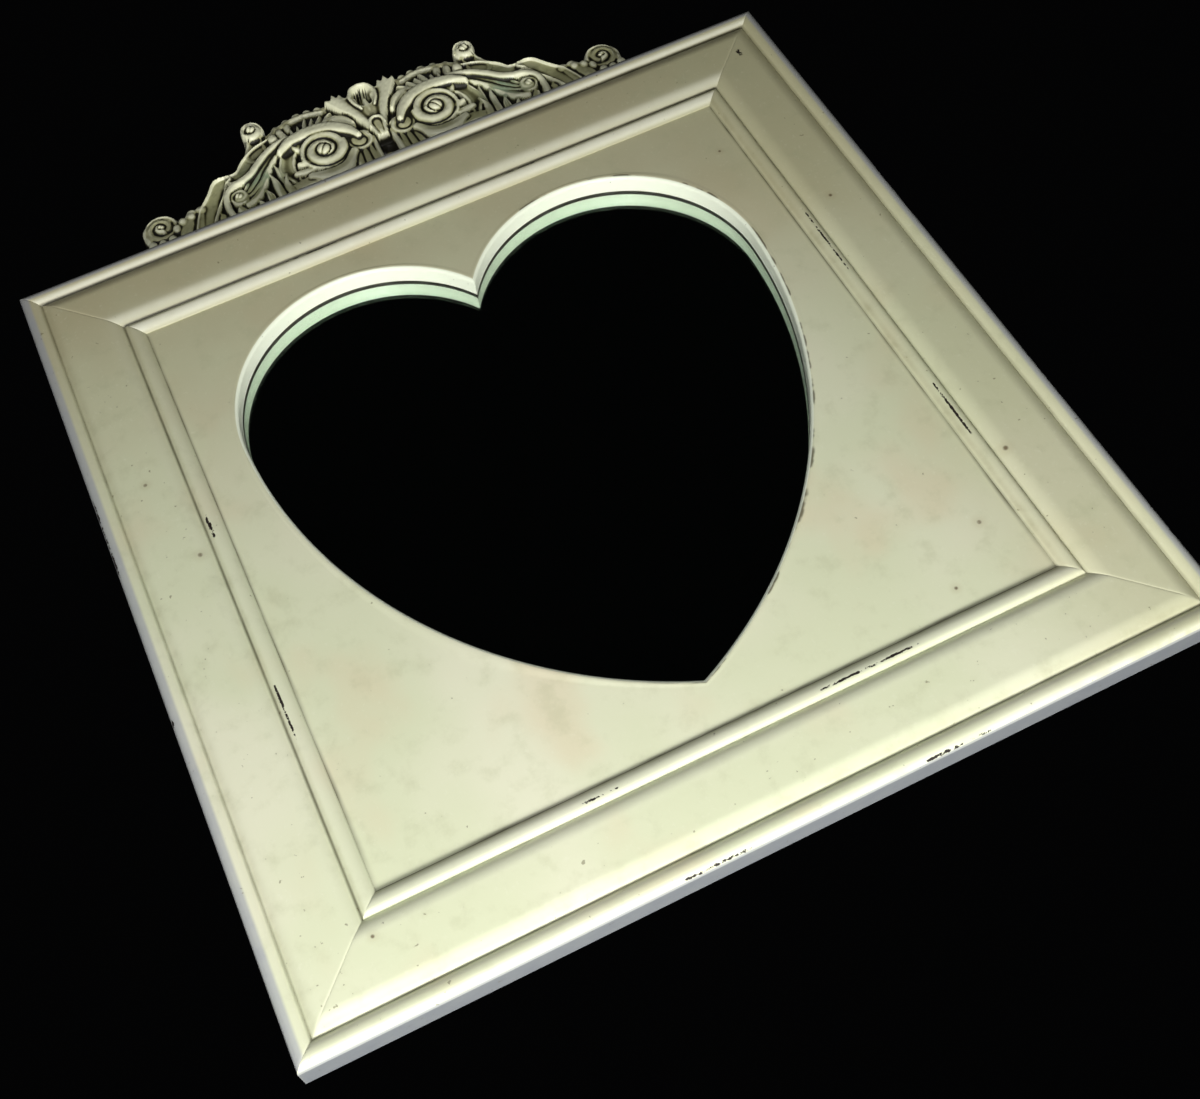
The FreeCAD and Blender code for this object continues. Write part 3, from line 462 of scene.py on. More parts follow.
class Relief:
    """Height map of a casting, built up from overlapping forms: at each point the highest shows.

    inside is the distance in from the outline of all the forms together, and stain_and_shade is how
    much of a strap's dark ground shows, stain with painted shade in its sunken middle."""

    def __init__(self, x, z):
        self.x = x
        self.z = z
        self.inside = np.full(x.shape, -9.0)
        self.height = np.zeros(x.shape)
        self.stain_and_shade = np.zeros(x.shape)

    def add(self, inside, top, roll, drop):
        """Adds a form whose edge falls by drop over a quarter round as wide as roll."""
        share = np.clip(inside / roll, 0, 1)
        edge = drop * (1 - np.sqrt(1 - (1 - share) ** 2))
        over = (inside > 0) & (top - edge > self.height)
        self.height = np.where(over, top - edge, self.height)
        self.stain_and_shade = np.where(over, 0.0, self.stain_and_shade)
        self.inside = np.maximum(self.inside, inside)

    def nearest(self, points):
        """Distance to a path, and the share of the path gone by there."""
        path = curve(points)
        start = path[:-1]
        step = path[1:] - start
        rx = self.x[:, None] - start[:, 0]
        rz = self.z[:, None] - start[:, 1]
        part = np.clip((rx * step[:, 0] + rz * step[:, 1]) / (step ** 2).sum(1), 0, 1)
        gap = np.hypot(rx - part * step[:, 0], rz - part * step[:, 1])
        k = gap.argmin(1)[:, None]
        share = (k[:, 0] + np.take_along_axis(part, k, 1)[:, 0]) / len(start)
        return np.take_along_axis(gap, k, 1)[:, 0], share

    def band(self, points, widths, top, rise, section="round", roll=1.5, drop=3.0):
        """A form of varying width along a path.  Sections: round is half an ellipse, strap is flat
        between raised borders, ribs is three rounds side by side, hollow is a dished channel."""
        gap, share = self.nearest(points)
        half = np.interp(share, np.linspace(0, 1, len(widths)), widths) / 2
        across = np.clip(gap / half, 0, 1)
        if section == "round":
            shape = rise * np.sqrt(1 - across ** 3)
        elif section == "strap":
            border = bell(half - gap, 1.0, 0.75)
            shape = rise * border + 0.25 * rise * (1 - across ** 2)
            self.stain_and_shade = np.where(gap < half - 1.6, 0.85, self.stain_and_shade)
        elif section == "ribs":
            shape = rise * np.sqrt(np.abs(np.cos(1.5 * np.pi * across)))
        else:
            shape = rise * across ** 2
        self.add(half - gap, top + shape, roll, drop)

    def bead(self, x, z, width, height, top, rise):
        """An oval button: half an ellipsoid."""
        radius = np.hypot((self.x - x) / width, (self.z - z) / height)
        inside = (1 - radius) * min(width, height)
        self.add(inside, top + rise * np.sqrt(np.clip(1 - radius ** 2, 0, 1)), 0.8, 1.5)

    def scroll(self, x, z, radius, pitch, start, hand, top, rise, step, eye):
        """A rolled-up band: an even spiral groove that comes in by one pitch a turn, the band
        rounded between its turns and each turn standing higher by a step than the one outside it.
        eye is the radius of the ball at its middle, which has a slot across it."""
        r = np.hypot(self.x - x, self.z - z)
        angle = np.arctan2(self.z - z, self.x - x)
        turn = (hand * (angle - math.radians(start)) / (2 * np.pi)) % 1
        coil = (radius - r) / pitch - turn
        level = np.clip(np.floor(coil), 0, 4)
        across = coil - np.floor(coil)
        shape = rise * np.sqrt(np.clip(1 - (2 * across - 1) ** 2, 0, 1)) + step * level
        if eye:
            ball = np.sqrt(np.clip(1 - (r / eye) ** 2, 0, 1))
            slot = np.exp(-((self.x - x) * 0.8 + (self.z - z) * 0.6) ** 2 / 0.5)
            shape = np.where(r < eye, 1.0 + (rise + step) * ball - 1.6 * slot * ball, shape)
        self.add(radius - RIM_SHRINK * pitch * turn - r, top + shape, 1.2, 3.0)

    def fan(self, x, z, inner, root, tip, first, last, teeth, top, hook, cut):
        """A row of leaf fingers round a centre: each reaches from the root to the tip and narrows
        to a point, with a furrow cut between it and the next; hook leans the points over."""
        r = np.hypot(self.x - x, self.z - z)
        angle = np.degrees(np.arctan2(self.z - z, self.x - x))
        share = (angle + hook * (r - root) - first) / (last - first)
        finger = 1 - np.abs(2 * ((share * teeth) % 1) - 1)
        length = 1 - 0.18 * np.cos(2 * np.pi * np.floor(share * teeth) * 0.37)
        reach = root + (tip - root) * finger ** 0.75 * length
        ends = np.minimum(share, 1 - share) * math.radians(last - first) * r
        inside = np.minimum(np.minimum((reach - r) * 0.6, r - inner), ends)
        out = np.clip((r - inner) / (root - inner), 0, 1)
        shape = cut * (np.sqrt(finger) - 1) * out ** 3 + 1.2 * np.sin(np.pi * out * 0.6)
        self.add(inside, top + shape, 1.0, 2.2)


# the middle of the main volute
VOLUTE = (39.5, 29.0)


def carve_back(relief):
    """The dark web behind the scrolls, and the rolled lip above the fan with its row of beads."""
    x, z = relief.x, relief.z
    top = np.interp(x, [0, 14, 24, 44, 58, 68, 78, 90, 100, 108, 120, 127, 140, 150, 166, 172],
                    [40, 50, 66, 70, 67, 59, 44, 38, 32, 26, 14, 8, 6, 8, 8, 2])
    web = np.minimum(top - z, z + 3)
    hole = np.hypot(x / 4.6, (z - 10.5) / 9.0)
    web = np.minimum(web, (hole - 1) * 4.6)
    relief.add(web, 6.0, 0.8, 1.0)
    relief.band([(74, 54), (66, 62), (58, 66), (48, 68.5), (38, 68.5), (29, 66)], (5, 6, 5.5, 5, 4.5, 4),
                9.6, 2.6)
    for place_x, place_z, size in ((68, 61.5, 3.6), (61, 66, 4.0), (53, 69, 3.8), (45, 70.6, 3.9),
                                   (37.5, 70.6, 3.6), (30.5, 69.4, 3.4), (26, 67.5, 3.4)):
        relief.bead(place_x, place_z, size, 0.9 * size, 9.4, 2.4)


def carve_straps(relief):
    """Flat moulded straps that run down from the knob to the foot, the ribbed leaf beside them and
    the small scroll they end in."""
    relief.band([(68, 54), (79, 50), (88, 43.5), (95, 37), (102, 36)], (10, 12, 12, 10, 9), 11.5,
                3.0, "strap")
    relief.band([(104, 37), (110, 34.5), (116, 25.5), (123, 16), (129, 4)], (6, 12, 13, 14, 13), 12.5,
                3.2, "strap")
    relief.band([(119, 13), (116, 8), (114, 1)], (5, 7, 8), 10.5, 2.0)
    relief.band([(55, 51), (68, 46), (80, 36), (87, 28), (94, 21), (99, 17)],
                (5, 9, 12, 13, 10, 5), 12.0, 1.6, "ribs")
    relief.band([(58, 51.5), (71, 47), (81, 40), (88, 33.5), (95, 30), (103, 28), (109, 22), (111, 13),
                 (110, 3)], (4, 5.5, 6, 6, 6, 5.5, 5.5, 5, 5), 13.8, 2.6)
    relief.band([(76, 33), (84, 22), (91, 15), (99, 11)], (3, 5, 6, 4), 11.0, 2.0)
    relief.band([(104, 10), (101, 5), (92, 3)], (6, 7, 6), 10.5, 2.0)
    relief.scroll(102, 18, 7.0, 4.6, 100, 1, 13.0, 2.0, 0.9, 2.6)


def carve_volute(relief):
    """The leaf fan, the bands that wrap the main volute, and the volute itself with its eye."""
    relief.fan(*VOLUTE, 13, 24.5, 35.0, 34, 122, 9, 13.6, -0.9, 3.4)
    relief.band([(66, 41), (58, 46), (47, 48), (36, 47.5), (27, 44), (19.5, 38), (15, 30)],
                (5, 9, 11, 11.5, 11, 9, 6), 13.6, 4.2, "round", 2.4, 4.5)
    relief.band([(30, 54), (24, 53.5), (18, 50), (14, 44)], (4, 6, 6, 4), 12.4, 2.4)
    relief.band([(24, 36), (20.5, 28), (23, 17), (30, 9)], (7, 6, 6, 8), 11.0, 2.2)
    relief.band([(22, 19), (30, 10), (42, 8), (54, 12)], (7, 9, 10, 6), 12.5, 2.8)
    relief.band([(57, 41), (63.0, 36), (66, 26), (63, 14)], (6, 11, 11, 6), 11.4, 2.6, "hollow")
    relief.band([(58, 26), (51, 24), (46, 26)], (4, 5.5, 4), 13.0, 1.8)
    relief.band([(62, 19), (53, 18), (46, 21)], (5, 6, 5), 12.5, 1.8)
    relief.band([(68, 8), (56, 10), (46, 8)], (9, 10, 8), 11.0, 2.0)
    relief.scroll(*VOLUTE, 17.2, 8.6, 165, 1, 12.4, 4.2, 0.8, 5.2)


def carve_leaves(relief):
    """Small upright leaves between the volute and the straps, and the lobes by the knob's neck."""
    relief.band([(73, 38), (71.5, 26), (72, 15)], (1, 5.0, 3), 10.5, 2.0)
    relief.band([(68, 24), (70.5, 14), (69, 2)], (1, 5.5, 7), 12.0, 2.0)
    relief.band([(78, 30), (76.5, 19), (76, 2)], (1, 5.5, 7), 11.4, 2.2)
    relief.band([(85, 21), (83, 12), (83.5, 2)], (1, 5.5, 7), 10.2, 1.6, "ribs")
    relief.band([(92, 13), (90, 8), (91, 1)], (1, 5, 7), 9.8, 2.0)
    relief.bead(66, 55, 3.6, 5.4, 13.0, 3.4)
    relief.bead(60, 59.5, 3.0, 4.6, 11.5, 2.6)
    relief.bead(54, 63.5, 2.8, 4.2, 10.5, 2.2)


def carve_knob(relief):
    """The rolled end of the upper scroll on its short flared neck."""
    relief.band([(76.5, 66), (78, 59), (80, 50)], (11, 12, 17), 11.5, 2.0, "hollow")
    relief.scroll(76.5, 69, 8.6, 6.0, 300, -1, 12.6, 4.0, 1.2, 3.4)


def carve_cartouche(relief):
    """The centre: a curled shell to either side of a flaring shield with ribs and flame points, an
    arched loop round a recess between its arms, and drops below."""
    x, z = relief.x, relief.z
    relief.band([(15, 26), (15.5, 15), (16.5, 1)], (12, 14, 18), 11.4, 1.8, "ribs")
    relief.band([(6.5, 26), (7.4, 14), (8.2, 1)], (4, 4.5, 6), 11.0, 2.4)
    relief.scroll(14.5, 26.5, 9.6, 6.6, 150, -1, 12.4, 2.2, -1.8, 0)
    half = np.interp(z, [12, 20, 30, 40, 50, 58, 66, 76], [2.6, 3.4, 5.5, 9.0, 14.5, 20, 25, 26])
    share = np.clip(x / half, 0, 1)
    flames = np.interp(x, [0, 6, 8.5, 11, 13.5, 16, 18.5, 21, 24.5, 27],
                       [60, 62, 67, 65.5, 70.5, 67.5, 72, 67, 69, 60])
    inside = np.minimum(np.minimum(half - x, flames - z), z - 22)
    ribs = 0.7 * np.cos(share * 3.0 * np.pi) * np.clip((share - 0.2) * 3, 0, 1)
    dish = 1.6 * share ** 2 + 0.045 * (z - 12)
    relief.add(inside, 14.0 + dish + ribs, 1.2, 2.6)
    recess = np.hypot(x / 5.0, (z - 60) / 8.5)
    relief.height = np.where(recess < 1, 9.0, relief.height)
    relief.band([(0, 58), (0, 52), (0, 46)], (3.6, 5.5, 2), 14.0, 2.0)
    relief.band([(0, 39.5), (3.6, 37.5), (5.2, 32)], (3.4, 3.6, 2.4), 14.6, 2.6)
    relief.band([(0, 35), (0, 29), (0, 24)], (8.5, 6, 3), 12.6, 3.0)
    relief.band([(0, 70.5), (5.6, 68.6), (8.4, 62.5), (7.6, 55.5), (4.8, 50)],
                (3.8, 3.8, 3.6, 3, 2), 15.2, 3.4)


def carve_ends(relief):
    """The fluted balls at the two ends, each under a scroll, with a row of beads below and the
    curls beside them."""
    relief.band([(151, 2), (148, 9), (143.5, 15)], (9, 9, 5), 11.0, 2.6)
    relief.band([(143, 2), (139, 12), (134, 20)], (9, 11, 8), 12.0, 3.0)
    relief.band([(134, 2), (131, 12), (127.5, 20)], (9, 8.5, 6), 11.5, 2.6)
    relief.bead(128, 20, 4.2, 4.2, 12.0, 3.0)
    r = np.hypot((relief.x - 155.5) / 13.0, (relief.z - 17) / 13.4)
    angle = np.arctan2(relief.z - 17, relief.x - 155.5)
    ball = 3.0 * np.sqrt(np.clip(1 - r ** 2, 0, 1))
    flutes = 1.4 * np.sqrt(np.abs(np.sin(3.5 * angle + 4.0 * r))) * np.clip(r * 2, 0, 1)
    relief.add((1 - r) * 13.0, 9.5 + ball + flutes, 1.2, 2.0)
    relief.scroll(155, 18, 12.0, 5.6, 250, 1, 10.4, 3.6, 1.6, 2.4)
    for place_x, place_z, size in ((164, 5, 3.4), (157.5, 3.5, 3.4), (151, 4.5, 3.2), (146, 12, 3.0),
                                   (141, 15, 3.4), (135, 17, 3.2)):
        relief.bead(place_x, place_z, size, 1.25 * size, 13.4, 2.6)


def softened(height, spread):
    """The height map averaged over its neighbourhood with a bell of the stated spread."""
    def weights(count):
        place = np.arange(count) * CREST_CELL
        share = np.exp(-((place[:, None] - place) / spread) ** 2 / 2)
        return share / share.sum(1, keepdims=True)
    return weights(height.shape[0]) @ height @ weights(height.shape[1])


def mirrored_half(half):
    """A half's grid with its reflection before it, the middle column kept once."""
    return np.concatenate([half[:, :0:-1], half], 1)


def crest_map():
    """The crest's outline and height over a fine grid, carved for one half and mirrored."""
    columns = int(CREST_HALF / CREST_CELL) + 1
    rows = int(CREST_TOP / CREST_CELL) + 1
    x, z = np.meshgrid(np.arange(columns) * CREST_CELL, np.arange(rows) * CREST_CELL)
    relief = Relief(x.ravel(), z.ravel())
    for carve in (carve_back, carve_straps, carve_leaves, carve_volute, carve_knob,
                  carve_cartouche, carve_ends):
        carve(relief)
    sign = np.where(np.arange(2 * columns - 1) < columns - 1, -1, 1)
    fields = [relief.inside, relief.height, relief.stain_and_shade]
    return [mirrored_half(x) * sign, mirrored_half(z)] + [
        mirrored_half(field.reshape(rows, columns)) for field in fields]


def make_crest():
    """The casting as a closed skin: the cells of the height map that lie inside the outline, the
    same cells flat behind, and a wall that joins their rims.  Rim points are drawn onto the
    outline along its slope."""
    x, z, inside, height, stain_and_shade = crest_map()
    inside = inside + 0.25 * soft_noise(np.stack([x, z], -1), 2.4, 8)
    height = softened(height, 0.34)
    grain = soft_noise(np.stack([x, z], -1), 1.1, 4) + soft_noise(np.stack([x, z], -1), 3.5, 6)
    hollow = softened(height, 1.9) - height
    fine = softened(height, 0.8) - height
    height = np.clip(height + 0.12 * grain, 2.0, 19.0)
    centre = (inside[:-1, :-1] + inside[1:, :-1] + inside[:-1, 1:] + inside[1:, 1:]) / 4
    kept = np.pad(centre > 0, 1)
    slope_z, slope_x = np.gradient(inside, CREST_CELL)
    steep = np.maximum(slope_x ** 2 + slope_z ** 2, 0.2)
    around = [kept[:-1, :-1], kept[:-1, 1:], kept[1:, :-1], kept[1:, 1:]]
    rim = np.any(around, 0) & ~np.all(around, 0)
    limit = 0.8 * CREST_CELL
    x = x - rim * np.clip(inside * slope_x / steep, -limit, limit)
    z = z - rim * np.clip(inside * slope_z / steep, -limit, limit) * (z > CREST_CELL)
    rows, columns = x.shape
    number = np.arange(rows * columns).reshape(rows, columns)
    behind = number + rows * columns
    cells = kept[1:-1, 1:-1]
    faces = np.stack([number[:-1, :-1], number[:-1, 1:], number[1:, 1:], number[1:, :-1]], -1)[cells]
    walls = []
    for first, second, start, end in (
        (kept[1:-1, :-1], kept[1:-1, 1:], number[:-1, :], number[1:, :]),
        (kept[:-1, 1:-1], kept[1:, 1:-1], number[:, 1:], number[:, :-1]),
    ):
        for edge, a, b in ((second & ~first, start, end), (first & ~second, end, start)):
            a, b = a[edge], b[edge]
            walls.append(np.stack([a, b, b + rows * columns, a + rows * columns], 1))
    back_faces = np.stack([behind[:-1, :-1], behind[1:, :-1], behind[1:, 1:], behind[:-1, 1:]], -1)
    faces = np.concatenate([faces, back_faces[cells]] + walls)
    points = np.concatenate([
        np.stack([x, BACK - height, z + TOP], -1).reshape(-1, 3),
        np.stack([x, np.full_like(x, BACK), z + TOP], -1).reshape(-1, 3),
    ]) + [CREST_SHIFT, 0, 0]
    # darker along the foot, where the casting meets the frame
    foot_line = np.exp(-z / 1.0)
    # glaze and painted shade in the hollows, from how far each point lies below its neighbours
    cavity = np.clip(hollow / 1.35 + 1.0 * fine + 0.75 * foot_line + 0.12, 0, 1)
    # painted shade: the low ground between the forms goes dark
    cavity = np.maximum(cavity, np.clip((10.4 - height) / 2.6, 0, 1))
    # painted highlight: convex and high parts go pale
    raised = np.clip(-hollow / 2.2 - 0.4 * fine + (height - 14.5) / 9, 0, 1)
    stain_and_shade = softened(stain_and_shade, 0.5)
    teal = bell(np.abs(x), 86, 15) * bell(z, 26, 15)
    used, compact = np.unique(faces, return_inverse=True)
    marks = {}
    for mark, front, back in (("cavity", cavity, 0.1), ("rub_and_highlight", raised, 0.0), ("stain_and_shade", stain_and_shade, 0.0),
                              ("teal", teal, 0.0)):
        marks[mark] = np.concatenate([front.ravel(), np.full(front.size, back)])[used]
    return make_piece("crest_cast", points[used], compact.reshape(faces.shape).tolist(), marks, 75)


# ---------------------------------------------------------------- finishes

class Signal:
    """A value that varies over a surface: a socket whose arithmetic adds Math nodes."""

    def __init__(self, finish, socket):
        self.finish = finish
        self.socket = socket

    def math(self, operation, *values):
        return self.finish.node("ShaderNodeMath", {"operation": operation}, values)

    def __add__(self, other):
        return self.math("ADD", self, other)

    def __sub__(self, other):
        return self.math("SUBTRACT", self, other)

    def __rsub__(self, other):
        return self.math("SUBTRACT", other, self)

    def __mul__(self, other):
        return self.math("MULTIPLY", self, other)

    __radd__ = __add__
    __rmul__ = __mul__


class Finish:
    """A material with one Principled shader.  Constants are set on the shader's own sockets."""

    def __init__(self, name, **constants):
        self.material = bpy.data.materials.new(name)
        self.material.use_nodes = True
        self.tree = self.material.node_tree
        self.shader = self.tree.nodes["Principled BSDF"]
        for key, value in constants.items():
            self.shader.inputs[key.replace("_", " ")].default_value = value
        self.place = self.node("ShaderNodeTexCoord", {}, {}, "Object")

    def node(self, kind, settings, inputs, output=0):
        """Any node: its type, its settings, the values or links of its sockets, and the output."""
        made = self.tree.nodes.new(kind)
        for key, value in settings.items():
            if key == "stops":
                for stop, (position, colour) in zip(made.color_ramp.elements, value):
                    stop.position = position
                    stop.color = colour
            else:
                setattr(made, key, value)
        pairs = inputs.items() if isinstance(inputs, dict) else enumerate(inputs)
        for key, value in pairs:
            if isinstance(value, Signal):
                self.tree.links.new(value.socket, made.inputs[key])
            else:
                made.inputs[key].default_value = value
        return Signal(self, made.outputs[output])

    def set(self, **values):
        """Links varying values to the shader's sockets."""
        for key, value in values.items():
            self.tree.links.new(value.socket, self.shader.inputs[key.replace("_", " ")])

    def mark(self, name):
        """A value kept on the piece's points."""
        return self.node("ShaderNodeAttribute", {"attribute_name": name}, {}, "Fac")

    def noise(self, scale, detail, roughness, place=None, distortion=0.0):
        """Cloudy noise over the object, or over another place."""
        settings = {"noise_dimensions": "3D"}
        inputs = {"Vector": place or self.place, "Scale": scale, "Detail": detail,
                  "Roughness": roughness, "Distortion": distortion}
        return self.node("ShaderNodeTexNoise", settings, inputs, "Fac")

    def stretched(self, x, y, z):
        """Object coordinates stretched by a factor along each axis."""
        return self.node("ShaderNodeVectorMath", {"operation": "MULTIPLY"}, (self.place, (x, y, z)))

    def ramp(self, value, low, high):
        """0 up to low, 1 from high on, and a smooth step between."""
        settings = {"interpolation_type": "SMOOTHSTEP"}
        return self.node("ShaderNodeMapRange", settings, (value, low, high, 0.0, 1.0))

    def mix(self, factor, first, second):
        """Colour between two colours."""
        return self.node("ShaderNodeMix", {"data_type": "RGBA"}, {0: factor, 6: first, 7: second}, 2)

    def coats(self, base, layers):
        """Colours laid over a base one after another, each with its own cover."""
        for cover, colour in layers:
            base = self.mix(cover, base, colour)
        return base

    def bump(self, height, strength, distance):
        """Small relief seen only in the shading; the distance is in metres."""
        inputs = {"Strength": strength, "Distance": distance, "Height": height}
        self.set(Normal=self.node("ShaderNodeBump", {}, inputs, "Normal"))

    def spots(self, places, radius, softness):
        """Round marks at places given as x and z in metres: 1 at each centre, 0 outside."""
        total = None
        for x, z, size in places:
            gap = self.node("ShaderNodeVectorMath", {"operation": "DISTANCE"},
                            (self.stretched(1, 0, 1), (x, 0, z)), "Value")
            spot = self.ramp(gap, radius * size * (1 + softness), radius * size * (1 - softness))
            total = spot if total is None else total.math("MAXIMUM", total, spot)
        return total


def rgb(red, green, blue):
    """A colour from display values of 0..255, with the display curve undone: a straight line near
    black, and a power of 2.4 above it."""
    share = np.array([red, green, blue]) / 255
    linear = np.where(share < 0.04045, share / 12.92, ((share + 0.055) / 1.055) ** 2.4)
    return (*map(float, linear), 1.0)


# dark specks in the paint: x and z from the middle of the frame, and size
SPECKS = [(-223, 83, 1.0), (-209, 25, 1.2), (-200, -212, 0.9), (178, 153, 0.8), (217, 84, 1.0),
          (207, -119, 1.3), (139, -178, 0.9), (171, -150, 1.1)]


def paint_cream():
    """Satin cream paint with an olive-brown antique glaze: softly clouded, worn off edges to dark wood
    in ragged dashes, bare wood behind.  Painted shade makes it browner towards the top, duller on the
    right, cool grey on the outer edges and dark in the grooves with the glaze; painted highlights pale
    the outer edge, the raised parts of the lit rails and the heart's wall."""
    paint = Finish("cream paint", Specular_IOR_Level=0.5)
    broad = paint.noise(7.0, 3.0, 0.55)
    pink = paint.noise(15.0, 2.0, 0.5, paint.stretched(1.3, 1, 1.0))
    mottle = paint.noise(75.0, 5.0, 0.6)
    fine = paint.noise(380.0, 3.0, 0.6)
    height = paint.node("ShaderNodeSeparateXYZ", {}, (paint.place,), "Z")
    sideways = paint.node("ShaderNodeSeparateXYZ", {}, (paint.place,), "X")
    # painted shade: browner and darker towards the top, where the light falls off
    top_shade = paint.ramp(height + 0.35 * (broad - 0.5) + 0.05 * (pink - 0.5), -0.14, 0.17)
    # painted shade: cool grey on the outer edges, darker grey on the outer walls
    side = paint.ramp(paint.mark("side"), 0.0, 1.0)
    wall_shade = paint.ramp(paint.mark("side"), 1.2, 2.2)
    # glaze and painted shade beside the grooves and along the bead
    stain_and_shade = paint.ramp(paint.mark("stain_and_shade") * (0.35 + 0.9 * mottle), 0.1, 1.3)
    # glaze and painted shade in the grooves and along the sight edge
    glaze_and_shade = paint.ramp(paint.mark("cavity") * (0.62 + 0.6 * paint.noise(34.0, 4.0, 0.6)), 0.1, 1.0)
    broken = paint.ramp(paint.noise(30.0, 4.0, 0.65), 0.42, 0.62)
    places = [(x * MM, (z + MIDDLE) * MM, size) for x, z, size in SPECKS]
    ragged = paint.ramp(fine * 0.5 + mottle * 0.5, 0.36, 0.56)
    pepper = paint.ramp(paint.noise(300.0, 2.0, 0.5), 0.735, 0.765)
    chips = paint.ramp(paint.noise(330.0, 5.0, 0.75), 0.40, 0.60)
    tears = paint.ramp(paint.noise(75.0, 4.0, 0.65), 0.38, 0.60)
    worn = paint.ramp(paint.mark("rub_and_highlight") * (0.15 + 0.75 * chips + 0.75 * tears), 0.62, 0.80)
    strip = paint.node("ShaderNodeCombineXYZ", {},
                       (paint.mark("along") * 0.001, paint.mark("across") * 0.006, 0.0))
    grain = paint.noise(30.0, 4.0, 0.6, strip)
    wood = paint.mix(paint.ramp(grain, 0.35, 0.65), rgb(196, 152, 100), rgb(158, 112, 66))
    bare = paint.ramp(paint.mark("bare") + (mottle - 0.5) * 0.35, 0.4, 0.6)
    base = paint.mix(paint.ramp(broad, 0.36, 0.64), rgb(216, 220, 188), rgb(226, 226, 200))
    base = paint.coats(base, [
        (paint.ramp(pink, 0.50, 0.74) * 0.45, rgb(220, 204, 172)),
        (top_shade * 0.85, rgb(188, 180, 142)),
        # painted shade: the right side duller and darker
        (paint.ramp(sideways + 0.06 * broad, 0.16, 0.26) * 0.55, rgb(192, 190, 152)),
        (paint.ramp(mottle, 0.48, 0.76) * 0.28, rgb(176, 178, 142)),
        (paint.ramp(fine, 0.58, 0.78) * 0.18, rgb(238, 238, 220)),
        # painted highlight along the rails' outer edge
        (paint.mark("edge") * paint.ramp(mottle, 0.35, 0.65) * 0.6, rgb(240, 242, 226)),
        # painted highlight on the raised parts of the rails
        (paint.mark("pale") * (0.45 + 0.5 * mottle), rgb(244, 244, 226)),
        # painted shade on the outer edges and walls
        (side * (0.6 + 0.4 * mottle), rgb(166, 169, 174)),
        (wall_shade * (0.75 + 0.25 * mottle), rgb(122, 126, 132)),
        (stain_and_shade * 0.6, rgb(128, 116, 78)),
        # glaze and painted shade in the grooves and along the sight edge
        (glaze_and_shade * 0.92, rgb(66, 62, 34)),
        # glaze with painted shade along the heart's shoulder
        (paint.ramp(paint.mark("glaze_and_shade") * (0.3 + broken), 0.3, 0.8) * 0.8, rgb(70, 62, 38)),
        # painted light, near white and greenish, on the heart's bevel and wall
        (paint.mark("wall") * 0.85, rgb(248, 255, 236)),
        (paint.mark("mitre") * 0.07, rgb(232, 230, 208)),
        (paint.spots(places, 0.0030, 0.8) * 0.16, rgb(150, 128, 84)),
        (paint.spots(places, 0.0010, 0.5) * (0.4 + 0.4 * ragged), rgb(84, 60, 34)),
        (pepper * 0.55, rgb(96, 84, 52)),
        (worn, rgb(30, 20, 14)),
        (bare, wood),
    ])
    rough = 0.36 + 0.12 * mottle + 0.1 * glaze_and_shade + 0.25 * worn + 0.3 * bare
    paint.set(Base_Color=base, Roughness=rough)
    paint.bump(0.35 * fine + 0.6 * mottle - 0.9 * worn, 0.35, 0.0002)
    return paint.material


def paint_crest():
    """The casting's paint: greenish cream, thick dark olive glaze with painted shade in the hollows,
    near black painted shade in the deepest and on the low ground, painted highlight pale on the
    raised parts, with a teal cast on the ribbed leaves."""
    paint = Finish("crest paint", Specular_IOR_Level=0.5)
    broad = paint.noise(26.0, 3.0, 0.55)
    mottle = paint.noise(150.0, 5.0, 0.62)
    fine = paint.noise(650.0, 3.0, 0.6)
    cavity = paint.mark("cavity")
    teal = paint.mark("teal") * paint.ramp(broad + 0.3 * mottle, 0.42, 0.72)
    # painted highlight on the raised parts
    raised = paint.ramp(paint.mark("rub_and_highlight") * (0.6 + 0.8 * mottle), 0.10, 0.5)
    # glaze and painted shade in the hollows
    stain_and_shade = paint.ramp(cavity * (0.7 + 0.6 * mottle), 0.08, 0.5)
    # near black painted shade in the deepest hollows and on the low ground
    deep_shade = paint.ramp(cavity * (0.75 + 0.5 * mottle), 0.26, 0.7)
    base = paint.mix(paint.ramp(broad, 0.36, 0.64), rgb(178, 178, 134), rgb(198, 196, 156))
    base = paint.coats(base, [
        (paint.ramp(mottle, 0.5, 0.7) * 0.5, rgb(132, 134, 94)),
        (teal * 0.75, rgb(132, 160, 136)),
        (raised * 0.95, rgb(242, 242, 210)),
        (paint.mark("stain_and_shade") * (0.6 + 0.5 * broad), rgb(104, 104, 74)),
        (stain_and_shade * 0.85, rgb(92, 88, 44)),
        (deep_shade, rgb(26, 24, 10)),
    ])
    rough = 0.30 + 0.16 * mottle + 0.25 * deep_shade
    paint.set(Base_Color=base, Roughness=rough)
    paint.bump(0.4 * fine + 0.8 * mottle, 0.5, 0.0003)
    return paint.material


def clear_glass():
    """Float glass, very slightly green, with a little dust."""
    glass = Finish("mirror glass", Transmission_Weight=1.0, IOR=1.5, Specular_IOR_Level=0.5)
    dust_and_shade = glass.noise(40.0, 4.0, 0.6)
    glass.set(Base_Color=glass.mix(dust_and_shade, rgb(244, 253, 247), rgb(238, 249, 242)),
              Roughness=0.004 + 0.012 * glass.ramp(dust_and_shade, 0.5, 0.8))
    return glass.material


def silvering():
    """Silvered back of the mirror, a trace of tarnish towards its edges."""
    silver = Finish("silvering", Metallic=1.0)
    cloud = silver.noise(14.0, 4.0, 0.6)
    colour = silver.mix(silver.ramp(cloud, 0.5, 0.8), rgb(240, 240, 238), rgb(222, 220, 214))
    silver.set(Base_Color=colour, Roughness=0.012 + 0.02 * cloud)
    return silver.material


